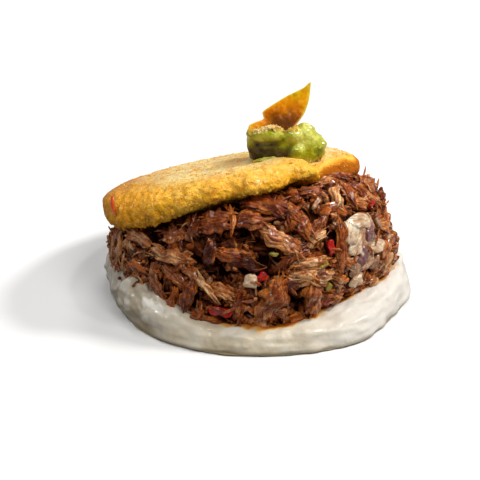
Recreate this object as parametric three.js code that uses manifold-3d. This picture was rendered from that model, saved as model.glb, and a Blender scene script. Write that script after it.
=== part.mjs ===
// A stuffed arepa: a fried corn cake split into a pocket, filled to overflowing with shredded
// beef, set on a bed of thick cream, and topped with guacamole and a corn chip.
// Millimetres, +Z up. The open side of the pocket faces -Y, and the origin is on the table
// under the middle of the cream bed.
import * as THREE from "three";
import Module from "manifold-3d";

const wasm = await Module();
wasm.setup();

// ---- Driving sizes ---------------------------------------------------------------------------

const airGap = 0.35; // kept between neighbouring pieces

const cake = {
  radius: 46, // of the whole round cake
  thickness: 13, // of each half
  hingeAzimuth: 122, // where the two halves stay joined, counter-clockwise from +X
  hingeSpread: 104, // how far round the rim the join reaches
  hingeWall: 6.5, // half the thickness of the joined rim
  opening: 20, // how far the upper half is lifted
  lidCentre: new THREE.Vector3(-9.6, 3, 37.4),
  tear: { from: -39, full: -48, fade: -85, to: -150 }, // azimuths of the torn front edge
  tearDepth: 5, // how far it is torn back
  tearLift: 2.2, // how far it curls up
  ragged: 2, // depth of its notches
  thinned: { from: 5, full: -32, fade: -85, to: -150 }, // azimuths of the rim with less underside
  underside: 0.36, // share of the thickness left there under the middle plane
};

const lowerHalf = {
  radius: 42,
  thickness: 10,
  centre: new THREE.Vector2(-5, 5),
};

const cream = {
  radius: 54.8,
  floor: 2, // under the cake
  rim: 6.8, // depth of the bed in front
  leftRim: 14, // depth where it is pushed up the left side
  leftAzimuth: 188,
  bulge: 5, // width of the rounded outer edge
};

const beef = {
  radiusX: 50.5,
  radiusY: 46.5,
  insideHinge: 34, // how far the filling reaches at the join
  bottom: 2.4,
  shoulder: 1.5, // how far the heap rises past the right-hand rim of the upper half
  leftOverhang: 2, // how far it spills over the cream on the left
  rightUndercut: 7, // how far its foot draws in on the right
  lean: 9, // how far its sides draw in from foot to top
  shreds: 66,
  shredLength: [9, 19],
  shredWidth: [3.4, 7.4],
};

const guacamole = {
  place: new THREE.Vector3(9.2, -5.6, 50.2), // the middle of its foot, on the upper half
  lean: 7, // how far its foot follows the slope
};

const chip = {
  thickness: 1.5,
  place: new THREE.Vector3(7.6, -5, 69),
  pitch: 72, // how far it is stood up from lying flat
  roll: 35, // its tip is turned up by this
};

const onionPieces = [
  // azimuth and height share place a piece on the heap; turn is about its own outward axis
  { name: "onion_petal_1", azimuth: -50, share: 0.68, turn: 62, size: [9.5, 6.2], curl: 7 },
  { name: "onion_petal_2", azimuth: -39, share: 0.66, turn: -24, size: [8.6, 5.2], curl: 8 },
  { name: "onion_petal_3", azimuth: -49, share: 0.51, turn: 20, size: [6.2, 5], curl: 6 },
  { name: "onion_petal_4", azimuth: -32, share: 0.46, turn: 14, size: [8.2, 3.6], curl: 8 },
  { name: "red_onion_1", azimuth: -41, share: 0.55, turn: 10, size: [6, 3.2], curl: 6 },
  { name: "red_onion_2", azimuth: -43, share: 0.42, turn: 65, size: [5, 4.4], curl: 6 },
  { name: "onion_cube_1", azimuth: -94, share: 0.46, turn: 10, size: [4.4, 4.2], curl: 20 },
  { name: "onion_cube_2", azimuth: -48, share: 0.32, turn: -20, size: [6.2, 3.6], curl: 12 },
];

const pepperPieces = [
  { name: "red_pepper_1", azimuth: -60, share: 0.59, turn: 80, size: [5.6, 2.6] },
  { name: "red_pepper_2", azimuth: -88, share: 0.48, turn: 40, size: [3.8, 3] },
  { name: "red_pepper_3", azimuth: -107, share: 0.22, turn: -8, size: [8, 3.4] },
  { name: "red_pepper_4", azimuth: -62, share: 0.24, turn: -55, size: [5.4, 2.4] },
  { name: "red_pepper_5", azimuth: -30, share: 0.74, turn: 30, size: [4, 2.4] },
];

// ---- Small tools -----------------------------------------------------------------------------

const { cos, sin, abs, sign, PI, min, max, exp, hypot } = Math;
const radians = (degrees) => (degrees * PI) / 180;
const mix = THREE.MathUtils.lerp;
const smooth = THREE.MathUtils.smoothstep;

// Repeatable random numbers from 0 to 1.
function seededRandom(seed) {
  let state = seed;
  return () => {
    state = (state + 0x6d2b79f5) | 0;
    let t = Math.imul(state ^ (state >>> 15), 1 | state);
    t = (t + Math.imul(t ^ (t >>> 7), 61 | t)) ^ t;
    return ((t ^ (t >>> 14)) >>> 0) / 4294967296;
  };
}

// Smooth bumps of about -1 to 1: a few sine waves in seeded directions.
function bumps(seed, wavelength) {
  const random = seededRandom(seed);
  const waves = Array.from({ length: 6 }, () => {
    const z = mix(-1, 1, random());
    const turn = 2 * PI * random();
    const flat = Math.sqrt(1 - z * z);
    const pitch = (2 * PI) / (wavelength * mix(0.7, 1.4, random()));
    return {
      direction: new THREE.Vector3(flat * cos(turn), flat * sin(turn), z).multiplyScalar(pitch),
      phase: 2 * PI * random(),
    };
  });
  return (point) =>
    waves.reduce((sum, w) => sum + sin(w.direction.dot(point) + w.phase), 0) / 3;
}

// The angle between two azimuths in degrees, from 0 to 180.
function apart(a, b) {
  const turn = (((a - b) % 360) + 360) % 360;
  return min(turn, 360 - turn);
}

// A closed surface from rows between two poles and columns that wrap round.
// pointAt gets the share down the rows and the azimuth in radians.
function closedGrid(rows, columns, pointAt) {
  const points = [pointAt(0, 0)];
  for (let r = 1; r < rows; r++)
    for (let c = 0; c < columns; c++) points.push(pointAt(r / rows, (2 * PI * c) / columns));
  points.push(pointAt(1, 0));
  const last = points.length - 1;
  const at = (r, c) => 1 + (r - 1) * columns + (c % columns);
  const faces = [];
  for (let c = 0; c < columns; c++) {
    faces.push(0, at(1, c), at(1, c + 1));
    for (let r = 1; r < rows - 1; r++) {
      faces.push(at(r, c), at(r + 1, c), at(r + 1, c + 1));
      faces.push(at(r, c), at(r + 1, c + 1), at(r, c + 1));
    }
    faces.push(last, at(rows - 1, c + 1), at(rows - 1, c));
  }
  const geometry = new THREE.BufferGeometry().setFromPoints(points);
  geometry.setIndex(faces);
  return geometry;
}

// A round-edged disc. outline gives its radius at an azimuth, and edge how square its rim is.
function disc({ rows, columns, outline, half, edge = 0.38 }) {
  return closedGrid(rows, columns, (share, azimuth) => {
    const side = 1 - 2 * share;
    // The square crowds the rows towards the poles, which spaces their circles evenly.
    const slope = (sign(side) * PI * (1 - (1 - abs(side)) ** 2)) / 2;
    const reach = max(cos(slope), 0) ** edge * outline(azimuth);
    const height = sign(sin(slope)) * abs(sin(slope)) ** 0.6 * half;
    return new THREE.Vector3(reach * cos(azimuth), reach * sin(azimuth), height);
  });
}

// Moves every vertex of a geometry by a function of its position.
function reshape(geometry, move) {
  const positions = geometry.getAttribute("position");
  const point = new THREE.Vector3();
  for (let i = 0; i < positions.count; i++) {
    point.fromBufferAttribute(positions, i);
    move(point);
    positions.setXYZ(i, point.x, point.y, point.z);
  }
  return geometry;
}

// Moves a geometry's surface outwards along its own normals.
function swell(geometry, distance) {
  geometry.computeVertexNormals();
  const positions = geometry.getAttribute("position");
  const normals = geometry.getAttribute("normal");
  const point = new THREE.Vector3();
  const normal = new THREE.Vector3();
  for (let i = 0; i < positions.count; i++) {
    normal.fromBufferAttribute(normals, i);
    point.fromBufferAttribute(positions, i).addScaledVector(normal, distance);
    positions.setXYZ(i, point.x, point.y, point.z);
  }
  return geometry;
}

// A three.js geometry as a solid for joining and cutting.
function solid(geometry) {
  return new wasm.Manifold(
    new wasm.Mesh({
      numProp: 3,
      vertProperties: new Float32Array(geometry.getAttribute("position").array),
      triVerts: new Uint32Array(geometry.index.array),
    }),
  );
}

// The largest piece of a solid, so that a loose scrap left by a cut is dropped.
function largest(manifold) {
  return manifold.decompose().reduce((a, b) => (b.volume() > a.volume() ? b : a));
}

function geometryOf(manifold) {
  const mesh = manifold.getMesh();
  const geometry = new THREE.BufferGeometry();
  geometry.setAttribute("position", new THREE.BufferAttribute(mesh.vertProperties, 3));
  geometry.setIndex(new THREE.BufferAttribute(mesh.triVerts, 1));
  geometry.computeVertexNormals();
  return geometry;
}

const joined = (parts) => parts.reduce((sum, part) => sum.add(part));

// ---- Corn cake -------------------------------------------------------------------------------

const upSlope = new THREE.Vector2(1, 0).rotateAround(
  new THREE.Vector2(),
  radians(cake.hingeAzimuth + 180),
);
const tiltAxis = new THREE.Vector3(upSlope.y, -upSlope.x, 0);
const lidPlace = new THREE.Matrix4()
  .makeRotationAxis(tiltAxis, radians(cake.opening))
  .setPosition(cake.lidCentre);

// Height of the upper half's middle plane above a point of the table.
function lidHeight(x, y) {
  const along = (x - cake.lidCentre.x) * upSlope.x + (y - cake.lidCentre.y) * upSlope.y;
  return cake.lidCentre.z + along * Math.tan(radians(cake.opening));
}

// 1 along the stretch of the rim that runs clockwise from full to fade, easing to 0 beyond it.
function alongRim(azimuth, { from, full, fade, to }) {
  const degrees = ((((azimuth * 180) / PI + 180) % 360) + 360) % 360 - 180;
  return (1 - smooth(degrees, full, from)) * smooth(degrees, to, fade);
}

function lidOutline(azimuth) {
  const notches = sin(9 * azimuth + 1) + sin(14 * azimuth) + sin(23 * azimuth + 2);
  const depth = cake.tearDepth - (cake.ragged * notches) / 3;
  return cake.radius - depth * alongRim(azimuth, cake.tear);
}

function upperHalf(grow) {
  const relief = bumps(11, 26);
  const lid = disc({ rows: 12, columns: 44, outline: lidOutline, half: cake.thickness / 2 });
  reshape(lid, (p) => {
    const reach = smooth(hypot(p.x, p.y) / cake.radius, 0.3, 0.9);
    const azimuth = Math.atan2(p.y, p.x);
    if (p.z < 0) p.z *= mix(1, cake.underside, reach * alongRim(azimuth, cake.thinned));
    p.z += cake.tearLift * reach * alongRim(azimuth, cake.tear) + 0.6 * relief(p);
  });
  if (grow) swell(lid, grow);
  return solid(lid.applyMatrix4(lidPlace));
}

function lowerDisc(grow) {
  const { radius, thickness, centre } = lowerHalf;
  const half = thickness / 2;
  const relief = bumps(12, 26);
  const base = disc({
    rows: 8,
    columns: 28,
    outline: (azimuth) => radius + 0.5 * sin(3 * azimuth) + 0.3 * sin(7 * azimuth),
    half,
  });
  reshape(base, (p) => {
    p.z += 0.3 * relief(p) * (p.z > 0 ? 1 : 0);
  });
  base.translate(centre.x, centre.y, cream.floor + airGap + half);
  if (grow) swell(base, grow);
  return solid(base);
}

// The part of the rim that was never cut: a band that carries the upper half on the lower one.
function hingeBand(grow) {
  const lowPoint = new THREE.Vector3();
  const highPoint = new THREE.Vector3();
  const band = closedGrid(10, 12, (share, turn) => {
    const azimuth = radians(cake.hingeAzimuth + (share - 0.5) * cake.hingeSpread);
    const outward = new THREE.Vector3(cos(azimuth), sin(azimuth), 0);
    lowPoint
      .copy(outward)
      .multiplyScalar(lowerHalf.radius - cake.hingeWall)
      .add({ x: lowerHalf.centre.x, y: lowerHalf.centre.y, z: cream.floor + airGap + 5 });
    highPoint
      .copy(outward)
      .multiplyScalar(cake.radius - cake.hingeWall)
      .applyMatrix4(lidPlace);
    const middle = lowPoint.clone().lerp(highPoint, 0.5);
    const rise = highPoint.clone().sub(lowPoint).multiplyScalar(0.5);
    rise.setLength(rise.length() + 2.5);
    const taper = max(sin(PI * share), 0) ** 0.4;
    const across = sign(cos(turn)) * abs(cos(turn)) ** 0.8 * cake.hingeWall * taper;
    const upward = sign(sin(turn)) * abs(sin(turn)) ** 0.7 * taper;
    return middle.addScaledVector(outward, across).addScaledVector(rise, upward);
  });
  if (grow) swell(band, grow);
  return solid(band);
}

const cakeSolid = (grow = 0) => joined([upperHalf(grow), lowerDisc(grow), hingeBand(grow)]);

// ---- Cream bed -------------------------------------------------------------------------------

// A dish of cream: thin under the cake, thick round it, with a soft rounded outer edge.
function creamSolid(grow = 0) {
  const profile = (azimuth) => {
    const degrees = (azimuth * 180) / PI;
    const left = 1 - smooth(apart(degrees, cream.leftAzimuth), 12, 48);
    const right = 1 - smooth(apart(degrees, -25), 15, 60);
    const crest = mix(cream.rim, cream.leftRim, left) + 2 * right;
    const front = (1 - sin(azimuth)) / 2;
    const outer = cream.radius + 1.3 * front * cos(5 * azimuth + radians(265));
    const inner = beefRadius(azimuth, 0) - mix(3, 1.5, left);
    // Points of the section from the middle of the top to the middle of the bottom.
    return [
      [0, cream.floor],
      [inner * 0.55, cream.floor],
      [inner - 3, cream.floor],
      [inner, cream.floor + 0.35 * (crest - cream.floor)],
      [inner + 1.5, crest - 0.3],
      [mix(inner + 2.5, outer, 0.4), crest],
      [outer - mix(cream.bulge * 0.4, -0.8, left), crest * 0.85],
      [outer + 0.4, crest * 0.5],
      [outer - mix(0.4, 1.2, left), crest * 0.2],
      [outer - mix(1.6, 0.2, left), 0],
      [outer * 0.5, 0],
      [0, 0],
    ];
  };
  const rows = profile(0).length - 1;
  const bed = closedGrid(rows, 42, (share, azimuth) => {
    const [reach, height] = profile(azimuth)[Math.round(share * rows)];
    return new THREE.Vector3(reach * cos(azimuth), reach * sin(azimuth), height);
  });
  if (grow) swell(bed, grow);
  return solid(bed);
}

// ---- Shredded beef ---------------------------------------------------------------------------

// Radius of the filling at an azimuth, from its foot (level 0) to its top (level 1).
function beefRadius(azimuth, level) {
  const degrees = (azimuth * 180) / PI;
  const oval = hypot(beef.radiusX * cos(azimuth), beef.radiusY * sin(azimuth));
  const atHinge = 1 - smooth(apart(degrees, cake.hingeAzimuth), 44, 58);
  const left = 1 - smooth(apart(degrees, cream.leftAzimuth), 10, 50);
  const right = 1 - smooth(apart(degrees, -42), 8, 40);
  const lean = beef.lean * (1 - left) * level ** 1.5;
  const overhang = beef.leftOverhang * left * smooth(level, 0.15, 0.5);
  const undercut = beef.rightUndercut * right * (1 - smooth(level, 0, 0.45));
  return mix(oval - lean + overhang - undercut, beef.insideHinge, atHinge);
}

// Height of the filling's top: under the upper half, and heaped up past its right-hand rim.
function beefTop(x, y) {
  const azimuth = (Math.atan2(y, x) * 180) / PI;
  const shoulder = 1 - smooth(apart(azimuth, -18), 25, 55);
  return lidHeight(x, y) - 1.5 + beef.shoulder * shoulder * smooth(hypot(x, y), 28, 42);
}

// A point of the filling's surface: slope runs from +90 degrees, the top, to -90, the foot.
function beefSurface(azimuth, slope) {
  const level = (1 + sign(sin(slope)) * abs(sin(slope)) ** 0.75) / 2;
  const reach = max(cos(slope), 0) ** (slope > 0 ? 0.3 : 0.1) * beefRadius(azimuth, level);
  const x = reach * cos(azimuth);
  const y = reach * sin(azimuth);
  return new THREE.Vector3(x, y, beef.bottom + level * (beefTop(x, y) - beef.bottom));
}

// The frame of a point on the filling's side: along the rim, up the side and outwards.
function beefFrame(azimuth, share) {
  const slope = Math.asin(sign(2 * share - 1) * abs(2 * share - 1) ** (1 / 0.75));
  const step = 0.01;
  const origin = beefSurface(azimuth, slope);
  const along = beefSurface(azimuth + step, slope).sub(origin).normalize();
  const up = beefSurface(azimuth, slope + step).sub(origin).normalize();
  const outward = along.clone().cross(up).normalize();
  return { origin, along, up, outward };
}

function beefCore() {
  const lumps = bumps(21, 17);
  const core = closedGrid(12, 40, (share, azimuth) => beefSurface(azimuth, (0.5 - share) * PI));
  reshape(core, (p) => {
    const push = 1.1 * lumps(p) - 0.6;
    const reach = hypot(p.x, p.y) || 1;
    p.x += (push * p.x) / reach;
    p.y += (push * p.y) / reach;
  });
  return solid(core);
}

// A tapering strip of meat with five sides, laid along a bowed line.
function shred(frame, { heading, length, width, lift, bow, twist }) {
  const { origin, along, up, outward } = frame;
  const ahead = along.clone().multiplyScalar(cos(heading)).addScaledVector(up, sin(heading));
  const aside = outward.clone().cross(ahead);
  return closedGrid(5, 5, (share, turn) => {
    const t = 2 * share - 1;
    const girth = max(1 - t * t, 0) ** 0.45 * (width / 2);
    const roll = turn + twist * t;
    return origin
      .clone()
      .addScaledVector(ahead, (t * length) / 2)
      .addScaledVector(outward, lift - bow * t * t + 0.75 * girth * sin(roll))
      .addScaledVector(aside, -girth * cos(roll) + 0.12 * length * sin(2.5 * t));
  });
}

// Shreds spread evenly over the bare sides, by the golden angle.
function beefShreds() {
  const random = seededRandom(7);
  const [from, to] = [-205, 52]; // azimuths of the bare side
  const golden = 0.618034;
  const strips = [];
  for (let i = 0; i < beef.shreds; i++) {
    const azimuth = radians(from + (to - from) * ((i * golden) % 1));
    const share = 0.07 + 0.87 * ((i + 0.5) / beef.shreds);
    const width = mix(...beef.shredWidth, random() ** 1.6);
    const shape = {
      heading: radians(mix(-75, 75, random())),
      length: mix(...beef.shredLength, random()),
      width,
      lift: mix(0, 1.5, random()),
      bow: mix(1.4, 3.2, random()),
      twist: mix(-0.8, 0.8, random()),
    };
    strips.push(solid(shred(beefFrame(azimuth, share), shape)));
  }
  return strips;
}

// ---- Vegetables in the filling ---------------------------------------------------------------

// A thin curved piece with rounded edges, x along it and z through it.
function petal([length, width], thickness, curl, grow = 0) {
  const piece = closedGrid(5, 8, (share, azimuth) => {
    const slope = (0.5 - share) * PI;
    const reach = max(cos(slope), 0) ** 0.35;
    const square = (value) => sign(value) * abs(value) ** 0.7;
    return new THREE.Vector3(
      reach * square(cos(azimuth)) * (length / 2 + grow),
      reach * square(sin(azimuth)) * (width / 2 + grow),
      sign(sin(slope)) * abs(sin(slope)) ** 0.7 * (thickness / 2 + grow),
    );
  });
  return reshape(piece, (p) => {
    p.z -= (p.x * p.x) / (2 * curl) / 2;
  });
}

// Places a piece on the filling's side, half sunk in it.
function placeOnBeef(geometry, { azimuth, share, turn }, lift) {
  const { origin, along, up, outward } = beefFrame(radians(azimuth), share);
  const place = new THREE.Matrix4().makeBasis(along, up, outward);
  place.setPosition(origin.addScaledVector(outward, lift));
  return geometry.applyMatrix4(new THREE.Matrix4().makeRotationZ(radians(turn))).applyMatrix4(place);
}

const onionThickness = 2;
const pepperThickness = 1.7;

const vegetables = (grow) => [
  ...onionPieces.map((piece) => ({
    name: piece.name,
    geometry: placeOnBeef(petal(piece.size, onionThickness, piece.curl, grow), piece, 1.5),
  })),
  ...pepperPieces.map((piece) => ({
    name: piece.name,
    geometry: placeOnBeef(petal(piece.size, pepperThickness, 9, grow), piece, 1.3),
  })),
];

// ---- Guacamole and corn chip -----------------------------------------------------------------

// Soft lobes that run into one another: x along the dollop, y into depth, z up, radius.
const lobes = [
  [-8, 0, 4, 6.2],
  [-6, -1, 8, 5],
  [-2, -2, 8.4, 4.8],
  [3, -1.2, 9, 5],
  [7.4, 0.2, 7.6, 5.6],
  [9.4, -0.6, 3.4, 4.8],
  [2, 3.2, 5.4, 6],
  [0, -2, 3, 6],
];

// How deep a point lies in the lobes together: 0 on their shared skin, more inside.
function lobeDepth(point) {
  const sum = lobes.reduce((total, [x, y, z, radius]) => {
    const distance = hypot(point.x - x, point.y - y, point.z - z) / radius;
    return total + exp(-3.4 * (distance * distance - 1));
  }, 0);
  return sum - 1;
}

// The lobes' skin, found outwards from the middle by halving.
function dollop(grow = 0) {
  const centre = new THREE.Vector3(0, 0, 5);
  return closedGrid(14, 26, (share, azimuth) => {
    const polar = share * PI;
    const ray = new THREE.Vector3(
      sin(polar) * cos(azimuth),
      sin(polar) * sin(azimuth),
      cos(polar),
    );
    let [near, far] = [0, 20];
    for (let i = 0; i < 24; i++) {
      const middle = (near + far) / 2;
      if (lobeDepth(centre.clone().addScaledVector(ray, middle)) > 0) near = middle;
      else far = middle;
    }
    return centre.clone().addScaledVector(ray, near + grow);
  });
}

const guacamolePlace = new THREE.Matrix4()
  .makeRotationAxis(tiltAxis, radians(guacamole.lean))
  .setPosition(guacamole.place);

// The chip's outline from its tail round to the tip: along the chip and across it.
const chipOutline = [
  [12.9, 1.6],
  [3.9, 3],
  [-5.2, 3.4],
  [-6.8, 1.2],
  [-11.8, 2.3],
  [-13.6, -0.6],
  [-8, -5],
  [-0.7, -7],
  [5.3, -5.4],
  [9.6, -2.4],
].map(([x, y]) => new THREE.Vector3(x, y, 0));

// A thin fried sheet, curled about its length and a little wavy.
function chipSheet(grow = 0) {
  const rim = new THREE.CatmullRomCurve3(chipOutline, true, "catmullrom", 0.35);
  const sheet = closedGrid(6, 30, (share, azimuth) => {
    const slope = (0.5 - share) * PI;
    const reach = max(cos(slope), 0) ** 0.5;
    const edge = rim.getPoint(azimuth / (2 * PI));
    const swell = 1 + grow / edge.length();
    const half = chip.thickness / 2 + grow;
    const height = sign(sin(slope)) * abs(sin(slope)) ** 0.6 * half;
    return new THREE.Vector3(edge.x * reach * swell, edge.y * reach * swell, height);
  });
  const waves = bumps(31, 14);
  return reshape(sheet, (p) => {
    p.z += 0.07 * p.y * p.y + 0.5 * waves(p.clone().setZ(0)) + 0.012 * p.x * p.x;
  });
}

// It stands on edge in the guacamole, facing the open side and leaning back a little.
const chipPlace = new THREE.Matrix4()
  .makeRotationX(radians(chip.pitch))
  .multiply(new THREE.Matrix4().makeRotationZ(radians(chip.roll)))
  .setPosition(chip.place);

// ---- The pieces, each cut clear of its neighbours --------------------------------------------

const cakePiece = cakeSolid();
const creamPiece = creamSolid().subtract(cakeSolid(airGap));
const guacamolePiece = solid(dollop().applyMatrix4(guacamolePlace))
  .subtract(upperHalf(airGap))
  .subtract(solid(chipSheet(airGap).applyMatrix4(chipPlace)));
const beefPiece = joined([beefCore(), ...beefShreds()])
  .subtract(cakeSolid(airGap))
  .subtract(creamSolid(airGap))
  .subtract(joined(vegetables(airGap).map(({ geometry }) => solid(geometry))));

// ---- Materials and meshes --------------------------------------------------------------------

const finishes = {
  cake: { color: "#dda640", roughness: 0.62 },
  cream: { color: "#ece3d2", roughness: 0.35 },
  beef: { color: "#7a4a32", roughness: 0.45 },
  onion: { color: "#e6d8c3", roughness: 0.3 },
  redOnion: { color: "#8d6f86", roughness: 0.3 },
  pepper: { color: "#b3201a", roughness: 0.25 },
  guacamole: { color: "#8f9a34", roughness: 0.3 },
  chip: { color: "#dd8f17", roughness: 0.5 },
};

function meshOf(name, geometry, finish) {
  const material = new THREE.MeshStandardMaterial({ ...finishes[finish], metalness: 0 });
  const mesh = new THREE.Mesh(geometry, material);
  mesh.name = name;
  return mesh;
}

function vegetableFinish(name) {
  if (name.startsWith("red_onion")) return "redOnion";
  return name.startsWith("onion") ? "onion" : "pepper";
}

const arepa = new THREE.Group();
arepa.add(
  meshOf("corn_cake", geometryOf(largest(cakePiece)), "cake"),
  meshOf("cream_bed", geometryOf(largest(creamPiece)), "cream"),
  meshOf("shredded_beef", geometryOf(largest(beefPiece)), "beef"),
  meshOf("guacamole", geometryOf(largest(guacamolePiece)), "guacamole"),
  meshOf("corn_chip", chipSheet().applyMatrix4(chipPlace), "chip"),
  ...vegetables(0).map(({ name, geometry }) => meshOf(name, geometry, vegetableFinish(name))),
);

export default arepa;
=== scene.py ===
import math
import bpy
import numpy as np
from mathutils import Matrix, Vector


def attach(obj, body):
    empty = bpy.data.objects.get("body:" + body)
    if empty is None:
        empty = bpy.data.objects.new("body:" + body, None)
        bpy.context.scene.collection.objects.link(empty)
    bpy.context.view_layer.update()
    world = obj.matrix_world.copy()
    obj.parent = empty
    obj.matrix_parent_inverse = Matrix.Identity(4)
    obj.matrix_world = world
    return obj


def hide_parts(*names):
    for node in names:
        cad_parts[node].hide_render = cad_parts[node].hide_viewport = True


# A stuffed arepa on a bed of cream: split corn cake, shredded beef, onion, pepper, guacamole and a chip.
# Shapes are worked out in millimetres with numpy and written to their meshes in metres.

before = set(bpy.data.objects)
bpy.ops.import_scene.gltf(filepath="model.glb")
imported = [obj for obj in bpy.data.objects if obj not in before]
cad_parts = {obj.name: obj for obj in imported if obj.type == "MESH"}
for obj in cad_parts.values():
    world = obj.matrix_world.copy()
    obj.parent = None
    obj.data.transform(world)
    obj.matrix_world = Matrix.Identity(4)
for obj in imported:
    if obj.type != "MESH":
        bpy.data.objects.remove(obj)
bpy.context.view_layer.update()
tau = 2 * math.pi
scene = bpy.context.scene


# From a to b by the share t: a + (b - a) t.
def mix(a, b, t):
    return a + (b - a) * t


# Zero below low, one above high, and 3t^2 - 2t^3 between them.
def smooth(value, low, high):
    t = np.clip((value - low) / (high - low), 0, 1)
    return t * t * (3 - 2 * t)


# Angle in degrees between two azimuths.
def apart(a, b):
    return np.abs((a - b + 180) % 360 - 180)


# One near an azimuth, falling to zero between two angles from it.
def around(azimuth, middle, near, far):
    return 1 - smooth(apart(azimuth, middle), near, far)


# Keeps the sign of a value and raises its size to a power.
def signedPower(value, power):
    return np.sign(value) * np.abs(value) ** power


# Vectors divided by their lengths.
def unit(vectors):
    return vectors / np.maximum(np.linalg.norm(vectors, axis=-1, keepdims=True), 1e-9)


# Turns points about a unit axis through the origin: v cos + (axis x v) sin + axis (axis . v)(1 - cos).
def turned(points, axis, degrees):
    c, s = math.cos(math.radians(degrees)), math.sin(math.radians(degrees))
    axis = np.asarray(axis, float)
    dot = (points * axis).sum(-1, keepdims=True)
    return points * c + np.cross(axis, points) * s + axis * dot * (1 - c)


noiseTables = {}


# Gradient noise, about -1 to 1: a random slope at each corner of a lattice of cells of the given size,
# read along the way from that corner, and the eight readings blended with 6t^5 - 15t^4 + 10t^3.
def wander(points, size, seed=0):
    if seed not in noiseTables:
        noiseTables[seed] = unit(np.random.default_rng(seed).normal(size=(32, 32, 32, 3)))
    spot = points / size
    cell = np.floor(spot).astype(np.int64)
    part = spot - cell
    blend = part ** 3 * (part * (part * 6 - 15) + 10)
    total = 0
    for step in np.ndindex(2, 2, 2):
        step = np.array(step[::-1])
        x, y, z = np.moveaxis((cell + step) & 31, -1, 0)
        weight = np.where(step, blend, 1 - blend).prod(-1)
        total = total + weight * ((part - step) * noiseTables[seed][x, y, z]).sum(-1)
    return total * 1.7


# Three such noises as a vector.
def drift(points, size, *seeds):
    return np.stack([wander(points, size, seed) for seed in seeds], -1)


# Several layers of that noise, each half the size and strength of the one before and turned against it.
def rough(points, size, layers, seed):
    total, strength = 0, 1
    for layer in range(layers):
        total = total + strength * wander(points, size, seed + layer)
        points = turned(points, (0.6, 0.64, 0.48), 37) + 11.3
        size, strength = size / 2, strength / 2
    return total


# Distance from each point to the nearest of the seeds scattered one to a cell, in cells, taken from a half.
def pebbles(points, size, seed):
    spots = np.random.default_rng(1000 + seed).uniform(0, 1, (32, 32, 32, 3))
    spot = points / size
    cell = np.floor(spot).astype(np.int64)
    nearest = np.full(points.shape[:-1], 9.0)
    for step in np.ndindex(3, 3, 3):
        at = cell + np.array(step) - 1
        there = at + spots[at[..., 0] & 31, at[..., 1] & 31, at[..., 2] & 31]
        nearest = np.minimum(nearest, ((there - spot) ** 2).sum(-1))
    return 0.5 - np.sqrt(nearest)


# The columns of a table, as arrays.
def columns(rows):
    return [np.array(column, float) for column in zip(*rows)]


# Points on the unit circle: (cos, sin, 0) of each turn.
def circle(turn):
    return np.stack([np.cos(turn), np.sin(turn), 0 * turn], -1)


# Turns evenly spaced round the circle.
def angles(count):
    return np.arange(count) / count * tau


# Slopes of the rings of a closed shell from its underside to its top, then those of its two poles.
def slopes(rings):
    return np.concatenate([((np.arange(rings) + 0.5) / rings - 0.5) * math.pi, [-math.pi / 2, math.pi / 2]])


# Points of closed shells from grids of rings: the rings in turn, then one point for each of the two poles.
def closed(grid, centred=False):
    poles = grid[..., -2:, 0, :] * ((0, 0, 1) if centred else 1)
    return np.concatenate([grid[..., :-2, :, :].reshape(*grid.shape[:-3], -1, grid.shape[-1]), poles], -2)


# Faces of such shells: quads between rings, and a fan of triangles from each ring end to its pole.
def shellFaces(rings, count, copies=1):
    c = np.arange(count)
    after = (c + 1) % count
    ring = np.arange(rings - 1)[:, None] * count
    quads = np.stack([ring + c, ring + after, ring + count + after, ring + count + c], -1).reshape(-1, 4)
    last, pole = (rings - 1) * count, rings * count + 0 * c
    fans = np.concatenate([np.stack([pole, after, c], -1), np.stack([pole + 1, last + c, last + after], -1)])
    jump = (np.arange(copies) * (rings * count + 2))[:, None, None]
    return [(quads + jump).reshape(-1, 4), (fans + jump).reshape(-1, 3)]


# Joins runs of points and faces, with the faces counted on from one run to the next.
def joined(runs):
    points, faces, jump = [], [], 0
    for spots, parts in runs:
        points.append(spots.reshape(-1, 3))
        faces += [part + jump for part in parts]
        jump += len(points[-1])
    return np.concatenate(points), faces


# Smooth cubic between b and c, with slopes m and n there.
def hermite(t, b, c, m, n):
    return ((2 * t ** 3 - 3 * t ** 2 + 1) * b + (t ** 3 - 2 * t ** 2 + t) * m + (3 * t ** 2 - 2 * t ** 3) * c
            + (t ** 3 - t ** 2) * n)


# Closes in on the place where inside stops being true, by halving.
def halved(inside, low, high, times):
    for _ in range(times):
        middle = (low + high) / 2
        within = inside(middle)
        low, high = np.where(within, middle, low), np.where(within, high, middle)
    return low, high


# Makes an object of a mesh, a lamp or a camera and puts it in the scene.
def addObject(name, data):
    made = bpy.data.objects.new(name, data)
    scene.collection.objects.link(made)
    return made


# Shades a mesh smooth and gives its points their values: one number or a vector each.
def dress(mesh, values):
    mesh.polygons.foreach_set("use_smooth", np.ones(len(mesh.polygons), bool))
    for label, numbers in values.items():
        kind, field = ("FLOAT_VECTOR", "vector") if np.ndim(numbers) > 1 else ("FLOAT", "value")
        data = mesh.attributes.new(label, kind, "POINT").data
        data.foreach_set(field, np.asarray(numbers, np.float32).ravel())


# Makes a mesh from points in millimetres and faces as arrays of quads or triangles.
def makeMesh(name, points, faces, values):
    mesh = bpy.data.meshes.new(name)
    points = points.reshape(-1, 3)
    corners = np.concatenate([part.ravel() for part in faces]).astype(np.int32)
    sizes = np.concatenate([np.full(len(part), part.shape[1]) for part in faces])
    mesh.vertices.add(len(points))
    mesh.vertices.foreach_set("co", (points * 0.001).astype(np.float32).ravel())
    mesh.loops.add(len(corners))
    mesh.loops.foreach_set("vertex_index", corners)
    mesh.polygons.add(len(sizes))
    mesh.polygons.foreach_set("loop_start", (np.cumsum(sizes) - sizes).astype(np.int32))
    mesh.update(calc_edges=True)
    mesh.validate()
    dress(mesh, values)
    return mesh


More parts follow.
